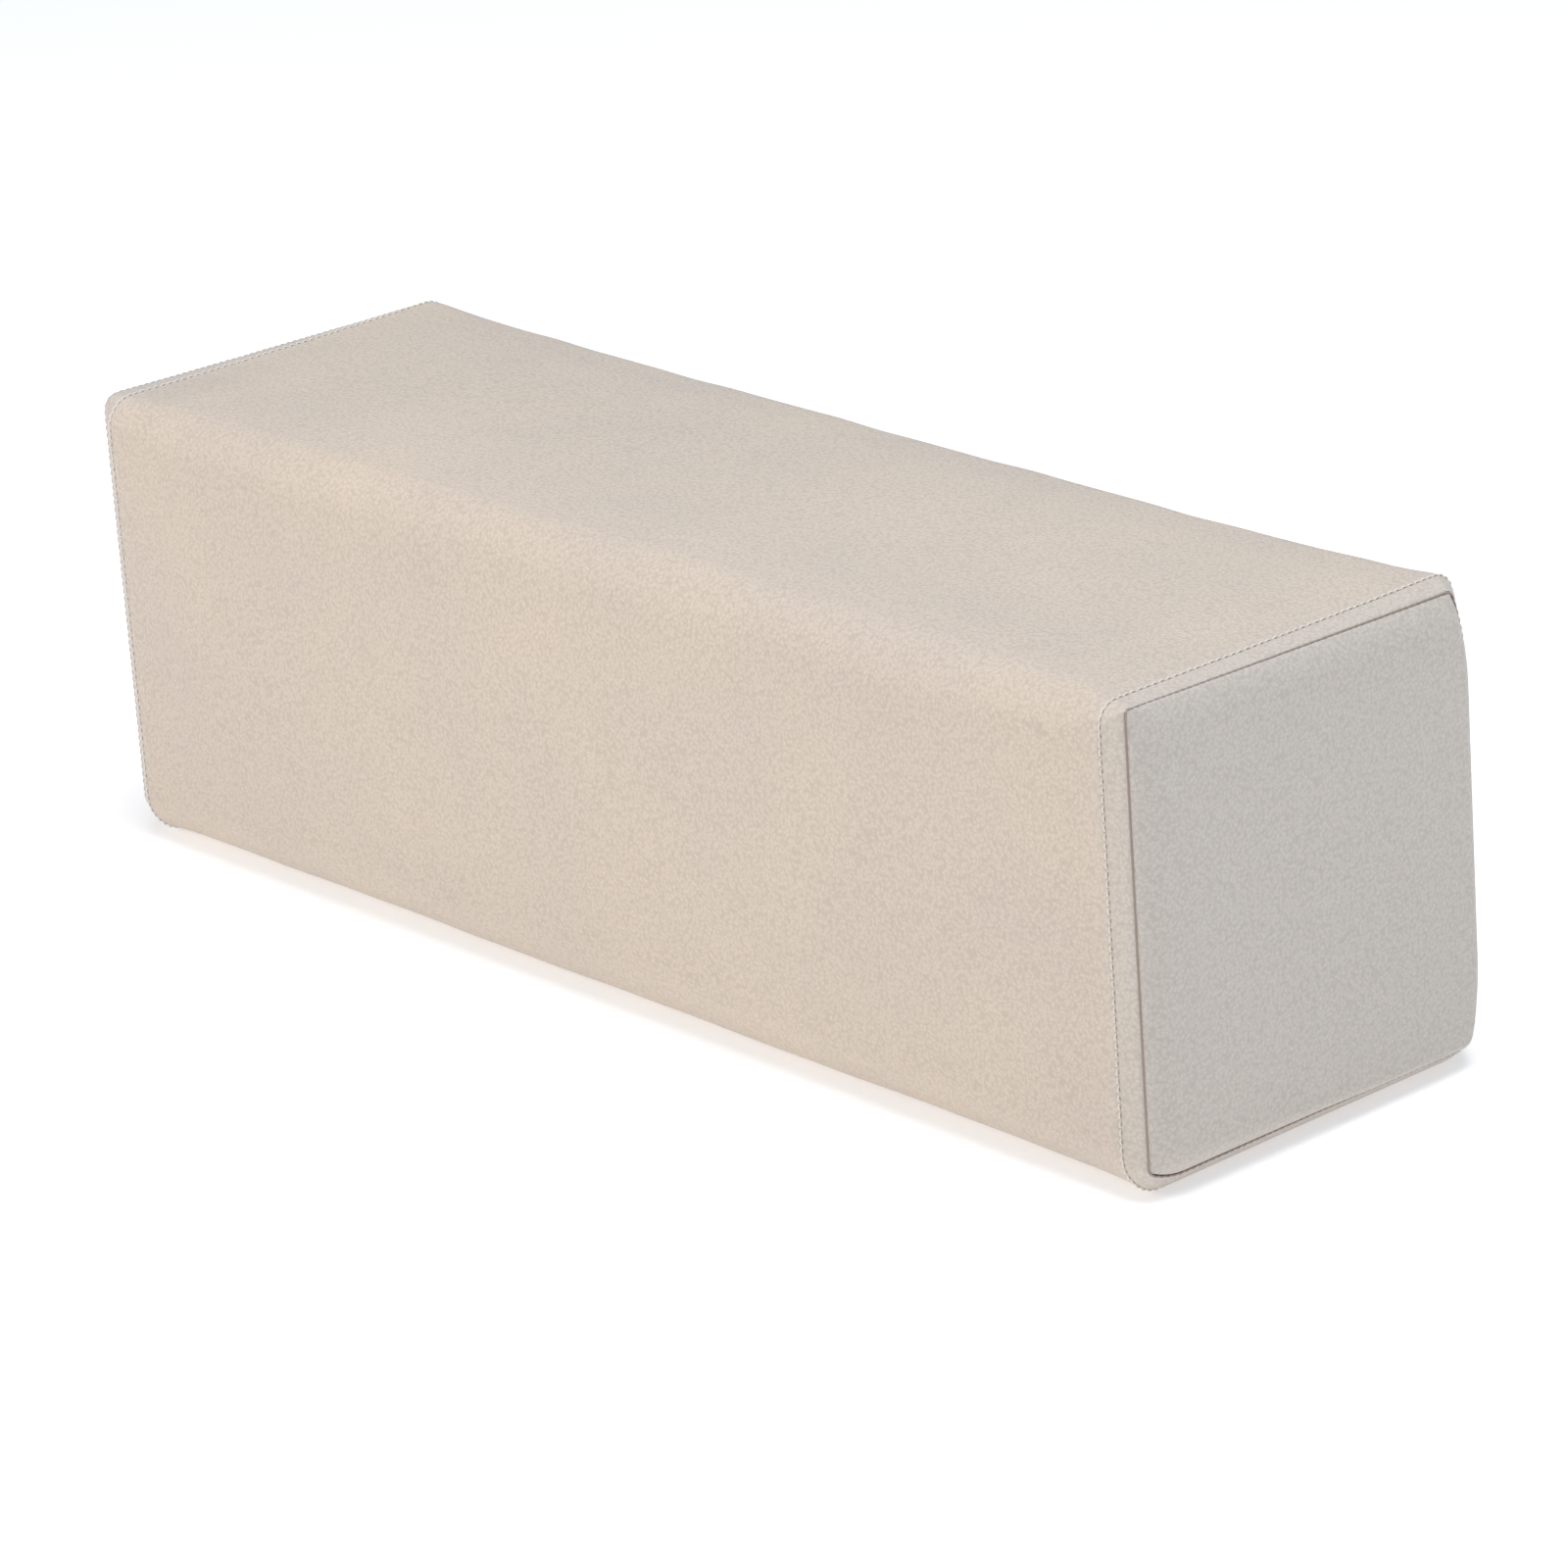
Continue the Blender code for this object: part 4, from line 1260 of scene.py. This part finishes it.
def ease_metal(bm, edges):
    bmesh.ops.bevel(
        bm, geom=list(edges), offset=EASED_METAL, segments=2, profile=0.5, affect="EDGES",
        material=-1,
    )


def rectangle(x_low, x_high, z_low, z_high):
    return [(x_low, z_low), (x_high, z_low), (x_high, z_high), (x_low, z_high)]


def both_sides(outline):
    """Close half an outline, drawn on the upper side, with its mirror image."""
    return outline + [(x, -z) for x, z in reversed(outline)]


def slider_bm():
    bm = bmesh.new()
    start = slider_low.x
    end = slider_high.x
    half = [
        (start, 0.55 * SLIDER_HALF), (start + 0.0006, 0.80 * SLIDER_HALF),
        (start + 0.0016, 0.95 * SLIDER_HALF), (start + 0.0030, SLIDER_HALF),
        (end - 0.0030, 0.97 * SLIDER_HALF), (end - 0.0010, 0.91 * SLIDER_HALF),
        (end, 0.82 * SLIDER_HALF),
    ]
    plate = both_sides(half)
    base_low = HALF_WIDTH - slider_low.y - BASE_PLATE
    block(bm, plate, -SLIDER_TOP, TOP_PLATE - SLIDER_TOP)
    block(bm, plate, base_low, base_low + BASE_PLATE)
    for side in (1, -1):
        wall = rectangle(start + 0.0024, end - 0.0022, SLIDER_HALF - WALL, SLIDER_HALF * 0.97)
        block(bm, [(x, side * z) for x, z in wall], TOP_PLATE / 2 - SLIDER_TOP, WALL_DROP)
    post = rectangle(start + 0.0003, start + POST_LENGTH, -POST_HALF, POST_HALF)
    block(bm, post, TOP_PLATE / 2 - SLIDER_TOP, base_low + BASE_PLATE / 2)
    arch = bmesh.new()
    middle = Vector((SLIDER_MIDDLE, HALF_WIDTH + SLIDER_TOP / 2, ZIP_HEIGHT))
    reach = 0.0033
    tall = slider_high.y - middle.y
    corners = [
        arch.verts.new(middle + Vector((-reach + x, 0, z)))
        for x, z in rectangle(0, BAIL_THICK, -BAIL_HALF, BAIL_HALF)
    ]
    foot = arch.faces.new(corners)
    bmesh.ops.spin(arch, geom=[foot], cent=middle, axis=(0, 0, 1), angle=-pi, steps=14)
    flatten = Matrix.Diagonal((1, tall / reach, 1)).to_4x4()
    about = Matrix.Translation(middle) @ flatten @ Matrix.Translation(-middle)
    bmesh.ops.transform(arch, matrix=about, verts=arch.verts)
    long_edges = [
        edge for edge in arch.edges
        if abs(edge.verts[0].co.z - edge.verts[1].co.z) < 1e-6 and len(edge.link_faces) == 2
        and edge.calc_face_angle(0) > 1.0
    ]
    ease_metal(arch, long_edges)
    bm.from_mesh(as_mesh(arch, "bail"))
    bmesh.ops.recalc_face_normals(bm, faces=bm.faces)
    return bm


def round_end(x, z, radius, start, stop, steps):
    """Give the points of an arc, between two angles, for an outline."""
    turns = [start + (stop - start) * i / steps for i in range(steps + 1)]
    return [(x + radius * cos(turn), z + radius * sin(turn)) for turn in turns]


def pull_bm():
    """Stamped tab with a window for the bail and a round-ended grip hole."""
    half = (pull_high.z - pull_low.z) / 2
    low = pull_low.y
    high = pull_high.y
    start = pull_low.x
    end = pull_high.x
    corner = 0.0018
    waist = half * 0.80
    side = [(start + 0.0004, half - 0.0004), (start + 0.0012, half), (start + 0.0062, half)]
    side += [(start + 0.0090, waist), (end - 0.0130, waist), (end - 0.0095, half)]
    side += round_end(end - corner, half - corner, corner, pi / 2, 0, 5)
    outline = [(start, half - 0.0010)] + side
    window = rectangle(
        SLIDER_MIDDLE + 0.0005, SLIDER_MIDDLE + 0.0042, -BAIL_HALF - 0.0004, BAIL_HALF + 0.0004
    )
    grip = round_end(end - 0.0055, 0, 0.0012, -pi / 2, pi / 2, 6)
    grip += round_end(end - 0.0085, 0, 0.0012, pi / 2, 3 * pi / 2, 6)
    parts = []
    for name, shape, low_y, high_y in (
        ("tab", both_sides(outline), low, high),
        ("window", window, low - 0.001, high + 0.001),
        ("grip", grip, low - 0.001, high + 0.001),
    ):
        bm = bmesh.new()
        prism(bm, shape, low_y, high_y)
        bmesh.ops.recalc_face_normals(bm, faces=bm.faces)
        parts.append(as_object(name, as_mesh(bm, name)))
    tab, *cutters = parts
    for cutter in cutters:
        cut = tab.modifiers.new(cutter.name, "BOOLEAN")
        cut.operation = "DIFFERENCE"
        cut.solver = "EXACT"
        cut.object = cutter
    ease = tab.modifiers.new("eased edges", "BEVEL")
    ease.width = EASED_METAL
    ease.segments = 2
    ease.limit_method = "ANGLE"
    ease.angle_limit = radians(40)
    bm = bmesh.new()
    bm.from_mesh(bpy.data.meshes.new_from_object(evaluated(tab)))
    for part in parts:
        bpy.data.objects.remove(part)
    return bm


zip_metal = metal_material()
finished("slider", slider_bm(), zip_metal, ["zip_slider"], body="slider")
finished("pull_tab", pull_bm(), zip_metal, ["zip_pull"], body="pull")
for name in ("zip_top_stop_upper", "zip_top_stop_lower", "zip_bottom_stop"):
    node = frame["nodes"][name]
    for material_slot in node.material_slots:
        material_slot.material = zip_metal


# ---------------------------------------------------------------- Studio
# The bolster rests on a pale floor, under a warm soft light from the front left and a large
# cool one overhead.

FLOOR = 40.0
LIGHT_SIZE = 1.6


def floor_material():
    made, tree, shader, place = new_material("floor", (0.80, 0.80, 0.80), 0.9)
    tone = remap(tree, noise(tree, place, 3.0), 0.79, 0.81)
    set_inputs(
        tree, shader, Base_Color=tone, Specular_IOR_Level=0.1,
        Emission_Color=(0.98, 0.985, 1.0, 1), Emission_Strength=0.42,
    )
    return made


floor_bm = bmesh.new()
bmesh.ops.create_grid(floor_bm, x_segments=4, y_segments=4, size=FLOOR / 2)
floor = as_object("floor", as_mesh(floor_bm, "floor"))
floor.data.materials.append(floor_material())


def area_light(name, place, power, colour):
    light = bpy.data.lights.new(name, "AREA")
    light.shape = "DISK"
    light.size = LIGHT_SIZE
    light.energy = power
    light.color = colour
    lamp = as_object(name, light)
    lamp.location = place
    lamp.rotation_mode = "QUATERNION"
    towards = Vector((0, 0, MID_HEIGHT)) - Vector(place)
    lamp.rotation_quaternion = towards.to_track_quat("-Z", "Y")


area_light("key", (-1.2, -2.6, 1.5), 34, (1.0, 0.85, 0.69))
area_light("overhead", (0.50, -0.05, 2.4), 43, (0.95, 0.97, 1.0))

world = bpy.data.worlds.new("studio")
world.use_nodes = True
sky = world.node_tree.nodes["Background"]
set_inputs(world.node_tree, sky, Color=(0.74, 0.85, 1.0, 1), Strength=0.37)
bpy.context.scene.world = world
bpy.context.scene.view_settings.view_transform = "Standard"


# ---------------------------------------------------------------- Camera
# A long lens looks down on the front and the right end, slightly tilted.

AZIMUTH = radians(49.40)
ELEVATION = radians(20.74)
TILT = radians(-4.07)
camera_data = bpy.data.cameras.new("camera")
camera_data.sensor_width = 36
camera_data.lens = 162.6
camera_data.clip_start = 0.05
camera_data.clip_end = 100
camera = as_object("camera", camera_data)
back = Vector((sin(AZIMUTH) * cos(ELEVATION), -cos(AZIMUTH) * cos(ELEVATION), sin(ELEVATION)))
level = Vector((cos(AZIMUTH), sin(AZIMUTH), 0))
upward = back.cross(level)
tilted = cos(TILT) * level + sin(TILT) * upward
tilted_up = -sin(TILT) * level + cos(TILT) * upward
camera.matrix_world = Matrix((tilted, tilted_up, back)).transposed().to_4x4()
camera.location = (1.6260, -1.3856, 0.8621)
bpy.context.scene.camera = camera
